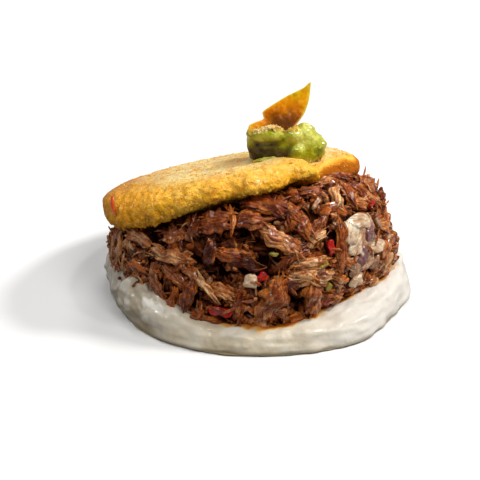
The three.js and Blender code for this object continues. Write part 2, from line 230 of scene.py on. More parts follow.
# Gives a piece its material and its body, and hides the nodes that it stands for. Its slot name is not used.
def addPiece(mesh, material, slotName, *nodes):
    piece = addObject(mesh.name, mesh)
    mesh.materials.append(material)
    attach(piece, "root")
    if nodes:
        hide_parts(*nodes)
    print(piece.name, len(mesh.vertices), "points", len(mesh.polygons), "faces")


# Linear colour from the 0 to 255 values of a colour picker.
def tint(*colour):
    return (*(((c / 255 + 0.055) / 1.055) ** 2.4 if c > 10 else c / 3295 for c in colour), 1.0)


# Links a wire to a socket, or sets the socket to a plain value.
def feed(socket, value):
    if isinstance(value, wire):
        value.tree.links.new(value.socket, socket)
    else:
        socket.default_value = value


# Adds a node and gives the output asked for, or all. A wire is linked to its input, and anything else is set.
def put(tree, kind, output=None, inputs=None, **settings):
    made = tree.nodes.new(kind)
    for key, value in settings.items():
        setattr(made, key, value)
    for key, value in (inputs or {}).items():
        feed(made.inputs[key], value)
    return [wire(tree, each) for each in made.outputs] if output is None else wire(tree, made.outputs[output])


# A Math node on two values, held to 0..1 if asked for.
def maths(operation, a, b, clamp=False):
    return put(a.tree, "ShaderNodeMath", 0, {0: a, 1: b}, operation=operation, use_clamp=clamp)


# A value in a node tree. Plus, minus and times between values make Math nodes.
class wire:
    def __init__(self, tree, socket):
        self.tree, self.socket = tree, socket

    def __add__(self, other):
        return maths("ADD", self, other)

    def __sub__(self, other):
        return maths("SUBTRACT", self, other)

    def __mul__(self, other):
        return maths("MULTIPLY", self, other)

    # Spreads low..high to 0..1 with a smooth step.
    def band(self, low, high):
        inputs = {"Value": self, "From Min": low, "From Max": high}
        return put(self.tree, "ShaderNodeMapRange", "Result", inputs, interpolation_type="SMOOTHSTEP")

    def noise(self, scale, detail=3.0, roughness=0.6):
        inputs = {"Vector": self, "Scale": scale, "Detail": detail, "Roughness": roughness}
        return put(self.tree, "ShaderNodeTexNoise", "Fac", inputs)

    def stretched(self, *scale):
        return put(self.tree, "ShaderNodeMapping", "Vector", {"Vector": self, "Scale": scale})

    def split(self):
        return put(self.tree, "ShaderNodeSeparateXYZ", None, {"Vector": self})


# A material in the making: its tree, its shader, Object coordinates and the colour laid so far.
class look:
    def __init__(self, name, **constants):
        self.material = bpy.data.materials.new(name)
        self.material.use_nodes = True
        self.tree = self.material.node_tree
        self.shader = self.tree.nodes["Principled BSDF"]
        for key, value in constants.items():
            self.shader.inputs[key.replace("_", " ")].default_value = value
        self.place = put(self.tree, "ShaderNodeTexCoord", "Object")

    def value(self, name, output="Fac"):
        return put(self.tree, "ShaderNodeAttribute", output, attribute_name=name)

    # Height, pale specks and dark specks of the corn grain.
    def grain(self, scale):
        inputs = {"Place": self.place, "Scale": scale}
        return put(self.tree, "ShaderNodeGroup", None, inputs, node_tree=grainGroup)

    # Film, roughness and ripple of the wet film.
    def wet(self, scale, dry, wet):
        inputs = {"Place": self.place, "Scale": scale, "Dry": dry, "Wet": wet}
        return put(self.tree, "ShaderNodeGroup", None, inputs, node_tree=wetGroup)

    # Begins the colour along a value, with stops of a place and its red, green and blue.
    def ramp(self, value, *stops):
        made = self.tree.nodes.new("ShaderNodeValToRGB")
        feed(made.inputs["Fac"], value)
        elements = made.color_ramp.elements
        while len(elements) < len(stops):
            elements.new(0.5)
        for element, (place, *colour) in zip(elements, stops):
            element.position, element.color = place, tint(*colour)
        self.colour = wire(self.tree, made.outputs["Color"])

    # Lays more colours over it, each by its share.
    def layers(self, *rows):
        for share, *colour in rows:
            self.colour = put(self.tree, "ShaderNodeMix", 2, {0: share, 6: self.colour, 7: tint(*colour)},
                              data_type="RGBA", clamp_factor=True)

    # Links the results. Each bump has a height, a strength and a distance, and the last one is the finest.
    def finish(self, roughness, coat, *bumps):
        results = {"Base Color": self.colour, "Roughness": roughness, "Coat Weight": coat}
        for height, strength, distance in bumps:
            under = {"Normal": results["Normal"]} if "Normal" in results else {}
            results["Normal"] = put(self.tree, "ShaderNodeBump", "Normal", {
                "Height": height, "Strength": strength, "Distance": distance, **under})
        for key, value in results.items():
            feed(self.shader.inputs[key], value)
        return self.material


# Makes a node group from its inputs, where None is a vector, and the work that turns them into outputs.
def makeGroup(name, inputs, work):
    group = bpy.data.node_groups.new(name, "ShaderNodeTree")
    for label, start in inputs.items():
        kind = "NodeSocketVector" if start is None else "NodeSocketFloat"
        socket = group.interface.new_socket(name=label, in_out="INPUT", socket_type=kind)
        if start is not None:
            socket.default_value = start
    results = work(*put(group, "NodeGroupInput")[:len(inputs)])
    for label in results:
        group.interface.new_socket(name=label, in_out="OUTPUT", socket_type="NodeSocketFloat")
    put(group, "NodeGroupOutput", None, results)
    return group


# Corn grain: noise of the given size makes the height, and its high and low spots the pale and dark specks.
def cornGrain(place, scale):
    fine, coarse = place.noise(scale, 3.0, 0.65), place.noise(scale * 0.32, 2.0, 0.6)
    cells = put(place.tree, "ShaderNodeTexVoronoi", "Distance", {"Vector": place, "Scale": scale * 0.9},
                feature="SMOOTH_F1")
    height, both = fine + coarse * 0.8 - cells * 0.7, fine + coarse * 0.5
    return {"Height": height, "Pale": both.band(0.84, 1.0), "Dark": both.band(0.7, 0.56)}


# Wet film: a smooth mask of where liquid lies, and a fine ripple for the glints on it.
def wetFilm(place, scale, dry, wet):
    film = place.noise(scale, 2.0, 0.5).band(0.4, 0.6)
    return {"Film": film, "Roughness": film * (wet - dry) + dry, "Ripple": place.noise(scale * 4.0, 2.0, 0.6)}


grainGroup = makeGroup("cornGrain", {"Place": None, "Scale": 900.0}, cornGrain)
wetGroup = makeGroup("wetFilm", {"Place": None, "Scale": 300.0, "Dry": 0.5, "Wet": 0.2}, wetFilm)

opening = {
    "hingeAzimuth": 122,     # degrees, the side where the lid is still joined
    "angle": 20,             # degrees that the lid is raised
    "lidCentre": (-9.6, 3.0, 37.4),
    "lowerCentre": (-5.0, 5.0, 7.35),
}
upSlope = circle(np.array(math.radians(opening["hingeAzimuth"] + 180)))
tiltAxis = np.array([upSlope[1], -upSlope[0], 0])
lidCentre = np.array(opening["lidCentre"])


# Turns directions, or points about the lid's middle, as the lid is turned.
def tilted(points):
    return turned(points, tiltAxis, opening["angle"])


# Lays points made flat about the lid's middle onto the raised lid.
def ontoLid(points):
    return tilted(points) + lidCentre


# One inside full..fade, falling to zero at start and at stop; azimuths in degrees from -180 to 180.
def alongRim(azimuth, start, full, fade, stop):
    degrees = (azimuth + 180) % 360 - 180
    return (1 - smooth(degrees, full, start)) * smooth(degrees, stop, fade)


heap = {
    "radiusX": 50.5,
    "radiusY": 46.5,
    "bottom": 2.4,
    "insideHinge": 34,
    "leftOverhang": 2,
    "rightUndercut": 7,
    "frontUndercut": 1.4,
    "lean": 9,               # mm that its sides come in towards the top
    "shoulder": 0.8,         # mm that its top swells up at the right
    "rightShoulder": 0.2,    # mm that the meat stands up before the lid's right end
    "underLid": 1.5,         # mm that its top lies below the lid's middle plane
    # hollows between the clumps of meat: azimuth, share of the height, radius and depth
    "hollows": [
        (-141, 0.71, 4.0, 3.8), (-118, 0.62, 5.0, 4.2), (-108, 0.50, 4.0, 3.2), (-120, 0.36, 4.0, 3.4),
        (-92, 0.50, 4.6, 4.4), (-74, 0.27, 2.6, 4.6), (-46, 0.16, 3.2, 3.4), (-57, 0.68, 3.0, 3.4),
        (-99, 0.77, 3.2, 3.0), (-122, 0.93, 4.5, 3.4), (-101, 0.92, 4.0, 3.0), (-34, 0.99, 4.0, 2.6),
        (-140, 0.90, 4.0, 3.0), (-76, 0.92, 3.2, 2.4), (-60, 0.44, 2.8, 3.0), (-88, 0.62, 3.4, 3.0),
        (-30, 0.62, 2.6, 2.4), (-12, 0.50, 4.0, 2.8), (5, 0.70, 4.0, 2.8), (-152, 0.60, 2.6, 2.4),
        (-160, 0.85, 3.0, 2.6),
    ],
}


# Reach of the heap at an azimuth in degrees and a level from 0 at its foot to 1 under the lid.
def heapRadius(azimuth, level):
    turn = np.radians(azimuth)
    oval = np.hypot(heap["radiusX"] * np.cos(turn), heap["radiusY"] * np.sin(turn))
    left = around(azimuth, 188, 10, 50)
    lean = (heap["lean"] + 4 * around(azimuth, 0, 20, 60)) * (1 - left) * level ** 1.5
    overhang = heap["leftOverhang"] * left * smooth(level, 0.15, 0.5)
    undercut = heap["rightUndercut"] * around(azimuth, -42, 8, 40) * (1 - smooth(level, 0, 0.45))
    undercut = undercut + heap["frontUndercut"] * around(azimuth, -96, 30, 60) * (1 - smooth(level, 0, 0.3))
    return mix(oval - lean + overhang - undercut, heap["insideHinge"],
               around(azimuth, opening["hingeAzimuth"], 44, 58))


# Height of the heap's top: the lid's sloping middle plane, less a gap, with two low shoulders.
def heapTop(x, y):
    azimuth, radius = np.degrees(np.arctan2(y, x)), np.hypot(x, y)
    along = (x - lidCentre[0]) * upSlope[0] + (y - lidCentre[1]) * upSlope[1]
    plane = lidCentre[2] + along * math.tan(math.radians(opening["angle"]))
    swell = around(azimuth, -18, 25, 55) * smooth(radius, 28, 42)
    rightEnd = smooth(azimuth, -49, -42) * (1 - smooth(azimuth, -16, 8)) * smooth(radius, 24, 33)
    return plane - heap["underLid"] + heap["shoulder"] * swell + heap["rightShoulder"] * rightEnd


# Point of the heap's skin: the level follows the sine of the slope and the reach falls off near the poles.
def heapPoint(azimuth, slope, inward=0.0):
    azimuth, slope = np.broadcast_arrays(np.asarray(azimuth, float), np.asarray(slope, float))
    level = (1 + signedPower(np.sin(slope), 0.75)) / 2
    reach = np.abs(np.cos(slope)) ** np.where(slope > 0, 0.3, 0.1) * heapRadius(azimuth, level) - inward
    turn = np.radians(azimuth)
    x, y = reach * np.cos(turn), reach * np.sin(turn)
    return np.stack([x, y, heap["bottom"] + level * (heapTop(x, y) - heap["bottom"])], -1)


# Frames for pieces lying on the heap, at azimuths and heights from 0 to 1, with a heading and an outward lean
# in degrees: place, axis, side and way out.
def layOn(azimuth, share, heading=0.0, lean=0.0):
    side = 2 * np.asarray(share, float) - 1
    slope = np.arcsin(np.clip(np.sign(side) * np.abs(side) ** (1 / 0.75), -0.9999, 0.9999))
    along = unit(heapPoint(azimuth + 0.6, slope) - heapPoint(azimuth - 0.6, slope))
    up = unit(heapPoint(azimuth, slope + 0.01) - heapPoint(azimuth, slope - 0.01))
    outward = unit(np.cross(along, up))
    heading, lean = (np.radians(0 * azimuth + angle)[:, None] for angle in (heading, lean))
    axis = along * np.cos(heading) + np.cross(outward, along) * np.sin(heading)
    axis, outward = axis * np.cos(lean) + outward * np.sin(lean), outward * np.cos(lean) - axis * np.sin(lean)
    return heapPoint(azimuth, slope), axis, np.cross(outward, axis), outward


# Puts grids of local places into such frames: place + axis along + side across + outward above.
def inFrame(way, along, across, above):
    origin, axis, side, outward = (part[:, None, None] for part in way)
    return origin + axis * along[..., None] + side * across[..., None] + outward * above[..., None]


*hollowPlaces, hollowSizes, hollowDepths = columns(heap["hollows"])
hollowSpots = layOn(*hollowPlaces)[0]


# Millimetres that the meat swells out: slow noise, less depth exp(-(d / radius)^2) for each hollow.
def relief(points):
    gap = ((points[..., None, :] - hollowSpots) ** 2).sum(-1) / hollowSizes ** 2
    swell = beef["clumps"] * (wander(points, 11, 48) + 0.5 * wander(points, 5.5, 49))
    return swell - (hollowDepths * np.exp(-gap)).sum(-1)


cake = {
    "radius": 46.0,
    "halfThickness": 6.5,
    "notch": 8.5,         # mm that the lid is bitten back before the lump
    "tear": 5,            # mm that it is bitten back along the tear
    "tearLift": 2.2,
    "crown": 2.6,         # mm that the middle of the top stands above its edge
    "lowerRadius": 42,
    "lowerHalf": 5.0,     # mm, half the thickness of the lower half
    "hingeSpan": 104,     # degrees of the rim where the halves are joined
    "hingeFoot": 35.5,    # mm from the lower half's middle to the foot of that hinge
    "hingeHead": 39.5,    # mm from the lid's middle to its head
    "hingeHalf": 6.5,     # mm, half its thickness
    "voxel": 0.66,        # mm, grid of the joined shape
    "crag": 1.0,          # mm, coarse crumb at the torn edge
    "lowEdge": 1.3,       # mm, crumb below the torn edge
    "grain": 0.16,        # mm, grain all over
}


# One along the torn front of the lid, falling to zero at its two ends.
def alongTear(azimuth):
    return alongRim(azimuth, -39, -48, -85, -150)


# Outline of the lid: a circle with the front bitten back along the tear, and a ragged edge there.
def lidOutline(azimuth):
    turn = np.radians(azimuth)
    ragged = 2 * (np.sin(9 * turn + 1) + np.sin(14 * turn) + np.sin(23 * turn + 2)) / 3
    signed = (azimuth + 180) % 360 - 180
    notch = cake["notch"] * smooth(signed, -44, -40) * (1 - smooth(signed, -24, -4))
    return cake["radius"] - (cake["tear"] - ragged) * alongTear(azimuth) - notch


# Powers of the lid's profile: its upper reach and height, and its lower reach. It is square at the back,
# squarest at the left end, and rolled over softly in front.
def lidPower(azimuth):
    soft = alongRim(azimuth, 36, -4, -120, -175) * (1 - 0.75 * np.exp(-((azimuth + 24) / 15) ** 2))
    leftEnd = around(azimuth, 184, 20, 60) * (1 - soft)
    return 0.38 + 0.34 * soft - 0.08 * leftEnd, 0.6 + 0.3 * soft - 0.08 * leftEnd, 0.38 - 0.22 * leftEnd


# A rounded disc as rings from its underside up: reach falls with the cosine and height follows the sine.
def discRings(rings, count, outline, half, power=lambda azimuth: (0.38, 0.6, 0.38)):
    side = 2 * (np.arange(rings) + 0.5) / rings - 1
    slope = np.sign(side) * math.pi * (1 - (1 - np.abs(side)) ** 2) / 2
    slope = np.concatenate([slope, [-math.pi / 2, math.pi / 2]])[:, None]
    turn = angles(count)
    reachPower, heightPower, lowerPower = power(np.degrees(turn))
    reach = np.abs(np.cos(slope)) ** np.where(slope > 0, reachPower, lowerPower)
    height = signedPower(np.sin(slope), np.where(slope > 0, heightPower, 0.6)) * half
    radius = reach * outline(np.degrees(turn))[None]
    return closed(np.stack([radius * np.cos(turn), radius * np.sin(turn), height + 0 * radius], -1), True)


# Turns a plain disc, in the lid's own frame, into the lid: thinner below in front, crowned above, lifted at
# the tear, and uneven by slow noise.
def shapeLid(lid):
    azimuth = np.degrees(np.arctan2(lid[..., 1], lid[..., 0]))
    share = np.hypot(lid[..., 0], lid[..., 1]) / cake["radius"]
    reach = smooth(share, 0.3, 0.9)
    crown = cake["crown"] * np.clip(1 - share ** 2, 0, 1) ** 0.8
    thin = mix(1, 0.36, reach * alongRim(azimuth, 5, -32, -85, -150))
    height = np.where(lid[..., 2] < 0, lid[..., 2] * thin, lid[..., 2] + crown)
    lid = np.stack([lid[..., 0], lid[..., 1], height], -1)
    lid[..., 2] += cake["tearLift"] * reach * alongTear(azimuth) + 0.7 * wander(lid, 24, 3)
    lid[..., 2] += 1.5 * reach * np.exp(-((azimuth + 53) / 9) ** 2)
    lid[..., 2] += 0.5 * reach * around(azimuth, 180, 25, 70) * (lid[..., 2] > 0)
    return lid


# The lid's upper side over places in its own frame: height = half (1 - share^(2/a))^(b/2), then shaped.
def lidTop(x, y):
    azimuth = np.degrees(np.arctan2(y, x))
    reachPower, heightPower, _ = lidPower(azimuth)
    share = np.clip(np.hypot(x, y) / lidOutline(azimuth), 0, 0.999)
    height = cake["halfThickness"] * (1 - share ** (2 / reachPower)) ** (heightPower / 2)
    return shapeLid(np.stack([x, y, height], -1))


# Lid, lower half and the thick hinge between them, as three closed shells.
def cakeShells():
    lid = shapeLid(discRings(90, 220, lidOutline, cake["halfThickness"], lidPower))
    lower = discRings(40, 160, lambda azimuth: cake["lowerRadius"] + 0.5 * np.sin(3 * np.radians(azimuth)),
                      cake["lowerHalf"])
    share = np.concatenate([(np.arange(40) + 0.5) / 40, [0, 1]])
    turn = -angles(40)
    outward = circle(np.radians(opening["hingeAzimuth"] + (share - 0.5) * cake["hingeSpan"]))
    low = outward * cake["hingeFoot"] + np.array(opening["lowerCentre"])
    high = ontoLid(outward * cake["hingeHead"])
    middle, rise = (high + low) / 2, (high - low) / 2 + unit(high - low) * 2.5
    taper = np.clip(np.sin(math.pi * share), 0, 1) ** 0.4
    across = signedPower(np.cos(turn), 0.8)[None] * cake["hingeHalf"] * taper[:, None]
    upward = signedPower(np.sin(turn), 0.7)[None] * taper[:, None]
    hinge = middle[:, None] + outward[:, None] * across[..., None] + rise[:, None] * upward[..., None]
    return [(ontoLid(lid), shellFaces(90, 220)), (lower + opening["lowerCentre"], shellFaces(40, 160)),
            (closed(hinge), shellFaces(40, 40))]


# Joins the shells on a fine grid, then moves each point along its normal by crumb, grain and dents.
def buildCake(material):
    rawCake = addObject("rawCake", makeMesh("rawCake", *joined(cakeShells()), {}))
    remesh = rawCake.modifiers.new("joined", "REMESH")
    remesh.mode = "VOXEL"
    remesh.voxel_size = cake["voxel"] * 0.001
    mesh = bpy.data.meshes.new_from_object(rawCake.evaluated_get(bpy.context.evaluated_depsgraph_get()))
    mesh.name = "cornCake"
    bpy.data.objects.remove(rawCake)
    spots, normals = np.empty((2, len(mesh.vertices) * 3), np.float32)
    mesh.vertices.foreach_get("co", spots)
    mesh.vertex_normals.foreach_get("vector", normals)
    spots, normals = spots.reshape(-1, 3).astype(float) * 1000, normals.reshape(-1, 3).astype(float)
    flat = turned(spots - lidCentre, tiltAxis, -opening["angle"])
    x, y, z = flat.T
    azimuth, radius = np.degrees(np.arctan2(y, x)), np.hypot(x, y)
    onLid = smooth(z, -12, -7)
    tear = alongRim(azimuth, -30, -45, -145, -179) * smooth(radius, 24, 41) * onLid
    under = smooth(-z, 0, 3) * smooth(42 - radius, -2, 4) * onLid
    ragEnd = np.exp(-((azimuth + 56) / 11) ** 2) * smooth(radius, 31, 38) * onLid
    lowEdge = smooth(-z, -1.5, 2.0) * alongRim(azimuth, -60, -88, -146, -172) * smooth(radius, 34, 41) * onLid
    crag, chips = rough(spots, 2.4, 3, 5), pebbles(spots, 1.7, 2)
    crumb = 0.5 * crag + 0.14 * chips + 0.24 * rough(spots, 1.4, 2, 25)
    shift = cake["crag"] * tear * (1 - 0.5 * ragEnd) * crumb
    shift = shift + ragEnd * (0.5 * rough(spots, 2.0, 2, 27) + 0.2)
    crumb = cake["lowEdge"] * rough(spots, 2.4, 2, 28) + 0.8 * np.maximum(wander(spots, 3.6, 29), 0) + 0.4
    shift = shift + lowEdge * crumb
    shift = shift + 0.28 * rough(spots, 8, 3, 9)
    shift = shift + cake["grain"] * (rough(spots, 1.5, 2, 15) + 0.3 * pebbles(spots, 1.5, 4))
    dents = smooth(wander(spots, 9, 21), 0.35, 0.7) * onLid
    moved = spots + normals * (shift - 0.5 * dents * (1 - under))[:, None]
    mesh.vertices.foreach_set("co", (moved * 0.001).astype(np.float32).ravel())
    lump = smooth(azimuth, -43, -38) * (1 - smooth(azimuth, 20, 50)) * onLid * smooth(radius, 32, 36)
    dress(mesh, {
        "torn": tear,
        # browner at the left end, partly toast and partly painted shade
        "leftEnd": smooth(-x, 14, 42) * onLid,
        # larger lower on the lump: its orange there is partly browner crust and partly painted shade
        "lump": lump * smooth(z + 1.6 * wander(moved, 7, 22), 5.2, 0.6),
        # pale sand on the lid's top, partly a painted sheen
        "sandAndSheen": onLid * smooth(z, 2.5, 6.5) * (1 - 0.7 * tear),
        # painted shadow of the dollop on the lid, with dust in it
        "dustAndShadow": onLid * np.exp(-(x - 3) ** 2 / 40 - (y + 3) ** 2 / 120) * (z > 2),
        # painted shade in the hollows of the torn crags
        "hollowShade": np.clip((-0.6 * crag - 0.2 * chips) * tear * (1 - 0.7 * ragEnd), 0, 0.7)})
    mesh.update()
    addPiece(mesh, material, "cake", "corn_cake")


# Fried corn: gold by slow and fine noise with pale and dark grain; paler on top, where the sand is partly a
# painted sheen;
# browner at the left end by toast and painted shade; darker orange low on the lump, partly crust and partly
# painted shade; painted shade in the hollows of the torn edge; and a painted shadow of the dollop, with dust,
# on the lid.
def cakeMaterial():
    made = look("friedCorn", Roughness=0.5, Coat_Roughness=0.2, IOR=1.4, Specular_IOR_Level=0.25,
                Subsurface_Weight=0.25, Subsurface_Scale=0.002, Subsurface_Radius=(1.0, 0.6, 0.2))
    torn, leftEnd, lump = map(made.value, ("torn", "leftEnd", "lump"))
    sandAndSheen, dustAndShadow, hollowShade = map(made.value, ("sandAndSheen", "dustAndShadow", "hollowShade"))
    big, middle = made.place.noise(60.0, 3.0, 0.55), made.place.noise(420.0, 4.0, 0.7)
    fine, finePale, fineDark = made.grain(1900.0)
    crumb, crumbPale, crumbDark = made.grain(800.0)
    calm, plain = sandAndSheen * -0.7 + 1.0, torn * -0.4 + 1.0
    made.ramp(big * 0.4 + middle * 0.6,
              (0.34, 228, 134, 12), (0.46, 244, 170, 30), (0.54, 252, 198, 56), (0.66, 255, 222, 108))
    # pale sand on top, partly a painted sheen
    made.layers((sandAndSheen * middle.band(0.34, 0.56) * 0.78, 255, 236, 178),
                # browner left end, partly toast and partly painted shade, and toast patches
                (maths("ADD", leftEnd, big.band(0.5, 0.66) * (calm * 0.4), True) * 0.78, 186, 94, 12),
                (torn * 0.5, 254, 188, 30),
                (crumbDark * (calm * 0.3), 212, 122, 16),
                (crumbPale * (plain * 0.45), 255, 226, 130),
                (finePale * 0.6, 255, 236, 170),
                (fineDark * (calm * 0.4), 210, 118, 16),
                # lump: pale above, darker orange lower down, partly browner crust and partly painted shade
                (lump.band(0.1, 0.45), 252, 202, 86),
                (lump.band(0.4, 0.8), 226, 142, 0),
                (lump.band(0.7, 1.0), 188, 104, 0),
                # painted shadow of the dollop, with dust
                (dustAndShadow * middle.band(0.40, 0.52) * 0.8, 158, 112, 70),
                # painted shade in the torn hollows
                (hollowShade, 202, 116, 8))
    film, roughness, _ = made.wet(200.0, 0.6, 0.36)
    return made.finish(roughness, film * (maths("MAXIMUM", lump, leftEnd) * -0.33 + 0.35),
                       (crumb + middle, 0.6, 0.0007), (fine, 1.0, 0.0005))


cream = {
    "floor": 2.0,
    "rim": 8.2,
    "leftRim": 15.5,
    "columns": 640,
    "steps": [2, 2, 10, 10, 26, 26, 20, 14, 5, 6],     # rings between the knots of the section
    # how far the bed reaches on the table, by azimuth
    "reach": [(0, 53.4), (60, 54), (150, 53.2), (180, 52.6), (203, 52.2), (225, 53), (242, 51.6), (265, 50.6),
              (285, 51), (310, 53.8), (327, 51.9), (350, 53.6)],
}


# Reach at each azimuth: straight runs between the given ones, evened out by a window of 24 degrees.
def creamReach(azimuth):
    spread = np.linspace(-12, 12, 25)
    weight = np.cos(spread / 12 * math.pi / 2) ** 2
    given, reach = columns(cream["reach"])
    near = np.interp((azimuth[:, None] + spread) % 360, given, reach, period=360)
    return (near * weight).sum(1) / weight.sum()


# Section of the cream at each azimuth, from its middle over the crest and down to its foot.
def creamSection(azimuth, left):
    right = around(azimuth, -25, 15, 60)
    ragged = wander(circle(np.radians(azimuth)) * 52, 9, 38)
    crest = mix(cream["rim"], cream["leftRim"], left) + 2 * right + (0.4 + 1.8 * left) * ragged
    outer = creamReach(azimuth) + 0.8
    inner = heapRadius(azimuth, 0 * azimuth) - mix(2.6, 1.2, left) + 0.8 * (1 - left) * ragged
    floor = cream["floor"] + 0 * outer
    spots = [(0.55 * inner, floor), (inner - 3, floor), (inner, floor + 0.35 * (crest - floor)),
             (inner + mix(1.5, 0.8, left), crest - 0.1),
             (mix(inner + 2.5, outer, mix(0.4, 0.2, left)), crest * mix(0.95, 0.92, left)),
             (outer + mix(-1.9, 0.5, left), mix(0.78, 0.7, left) * crest),
             (outer + mix(-0.3, 1.5, left), mix(0.46, 0.42, left) * crest),
             (outer + mix(0.5, 0, left), 0.2 * crest), (outer + mix(0.3, -0.4, left), 0.3 + 0 * crest),
             (outer - 0.8, 0 * crest), (0.5 * outer, 0 * crest)]
    return np.stack([np.stack(pair, -1) for pair in spots], 1)


# A smooth curve through the points of each section, in cubic pieces cut into the given numbers of steps. No
# slope is longer than its run.
def throughPoints(knots, steps):
    rows, last = [], knots.shape[1] - 1
    for i, count in enumerate(steps):
        t = (np.arange(count) / count)[None, :, None]
        a, b, c, d = (knots[:, k, None] for k in (max(i - 1, 0), i, i + 1, min(i + 2, last)))
        run = np.linalg.norm(c - b, axis=-1, keepdims=True)
        m, n = (k * np.minimum(1, run / np.maximum(np.linalg.norm(k, axis=-1, keepdims=True), 1e-6))
                for k in ((c - a) * 0.42, (d - b) * 0.42))
        rows.append(hermite(t, b, c, m, n))
    return np.concatenate([*rows, knots[:, -1:]], 1)


# Turns the section round the bed, then moves its points by swells, streaks, folds, dabs, a crease and blobs.
def buildCream(material):
    azimuth = np.arange(cream["columns"]) / cream["columns"] * 360
    left = around(azimuth, 193, 16, 56)
    section = throughPoints(creamSection(azimuth, left), cream["steps"])
    reach, height = section[..., 0].T, section[..., 1].T
    turn, left = np.radians(azimuth)[None], left[None]
    outward = circle(turn)
    spots = outward * reach[..., None] + np.array([0, 0, 1]) * height[..., None]
    slope = np.gradient(section, axis=1)
    across = unit(np.stack([slope[..., 1].T, -slope[..., 0].T], -1))
    normals = outward * across[..., :1] + np.array([0, 0, 1]) * across[..., 1:]
    normals = np.where((normals * outward).sum(-1, keepdims=True) + normals[..., 2:] < 0, -normals, normals)
    wide = 0.9 * wander(spots, 15, 31) + 0.5 * wander(spots, 6, 32)
    streaks = 0.34 * wander(np.stack([turn * 7 + 0 * reach, reach / 2.4, height / 2.4], -1), 1, 33)
    upAndDown = np.stack([turn * 50 + 0 * reach, height / 3, 0 * height], -1)
    folds = left * smooth(height, 0.5, 6) * (0.25 * wander(upAndDown * (1, 0.4, 1), 2.2, 34)
                                             + 1.5 * (0.4 - 1.6 * np.abs(wander(upAndDown, 7, 40))))
    dabs = smooth(wander(spots * (1, 1, 0.5), 4.5, 35), 0.15, 0.55) * 0.25
    crease = left * np.exp(-((azimuth - 188 - 1.6 * height) / 3.0) ** 2)
    blobs = np.exp(-((azimuth - 219) / 9) ** 2) * smooth(height, 6, 9) * (0.6 + wander(spots, 2.6, 37))
    move = normals * (wide + streaks + folds + dabs + 0.9 * crease + 0.9 * blobs)[..., None]
    move[..., 2] *= smooth(height, 0.4, 2.0)
    spots = spots + move * smooth(reach, 36, 42)[..., None]
    spots[..., 2] = np.maximum(spots[..., 2], 0.0)
    edge = reach - heapRadius(azimuth, 0 * azimuth)
    rightFront = around(azimuth, 300, 25, 70)
    width = mix(-0.2, 1.8, rightFront) + 2.2 * wander(spots, 9, 39) + 1.0 * wander(spots, 3.5, 42)
    stain = 1 - smooth(edge + 0.7 * wander(spots, 2.6, 36) - width, -1.2, 1.2)
    # dabs painted near white as highlights, which also get more coat
    glossAndHighlight = smooth(wander(spots * (1, 1, 0.6), 3.4, 41), -0.1, 0.3) * smooth(height, 5, 8)
    values = {"stain": stain * smooth(-np.sin(turn), -0.3, 0.3) * mix(0.12, 1, rightFront),
              # a thin skin on the left, also darkened there as painted shade
              "skinAndShade": left * smooth(height, 1, 6),
              # darker at the foot: painted contact shade
              "foot": smooth(height, 2.2, 0.1) * smooth(reach, 40, 46),
              "glossAndHighlight": glossAndHighlight * np.maximum(np.exp(-((azimuth - 224) / 10) ** 2), 0.5 * left)}
    values = {key: np.concatenate([value.ravel(), [0, 0]]) for key, value in values.items()}
    points = np.concatenate([spots.reshape(-1, 3), [[0, 0, cream["floor"]], [0, 0, 0]]])
    faces = [part[:, ::-1] for part in shellFaces(len(reach), len(azimuth))]
    addPiece(makeMesh("creamBed", points, faces, values), material, "cream", "cream_bed")


# Cream: pale clouds, painted paler at the right where the light falls, a brownish skin on the left that is
# partly painted shade, a painted contact shade at the foot, painted highlights on dabs, and the stain of
# juice by the meat.
def creamMaterial():
    made = look("cream", Roughness=0.35, Coat_Roughness=0.12, IOR=1.4)
    place, skinAndShade, glossAndHighlight = made.place, made.value("skinAndShade"), made.value("glossAndHighlight")
    across, _, level = place.split()
    cloud = place.noise(90.0, 3.0, 0.5)
    stain = (place.noise(380.0) - 0.5) * 0.7 + made.value("stain")
    made.ramp(cloud, (0.34, 186, 168, 138), (0.5, 206, 194, 170), (0.66, 220, 212, 196))
    # painted light: paler and whiter at the right, where the key light falls
    made.layers((across.band(0.0, 0.042) * 0.8, 222, 218, 211),
                (place.noise(900.0, 2.0).band(0.66, 0.75) * 0.3, 190, 160, 118),
                # skin on the left: partly a real film, partly painted shade
                (skinAndShade * 0.6, 160, 148, 128),
                (skinAndShade * (level.band(0.0095, 0.0165) * 0.2), 146, 116, 86),
                # painted highlights on the dabs
                (glossAndHighlight * 0.9, 238, 234, 224),
                # painted contact shade at the foot
                (made.value("foot") * 0.8, 150, 132, 92),
                (stain.band(0.1, 0.7), 216, 158, 74),
                (stain.band(0.5, 1.05), 158, 82, 14))
    film, roughness, _ = made.wet(120.0, 0.46, 0.3)
    return made.finish(roughness, maths("ADD", film * (skinAndShade * 0.78 + 0.22) + glossAndHighlight, stain, True),
                       (place.noise(420.0, 3.0, 0.55) + cloud * 0.6, 0.3, 0.0008))


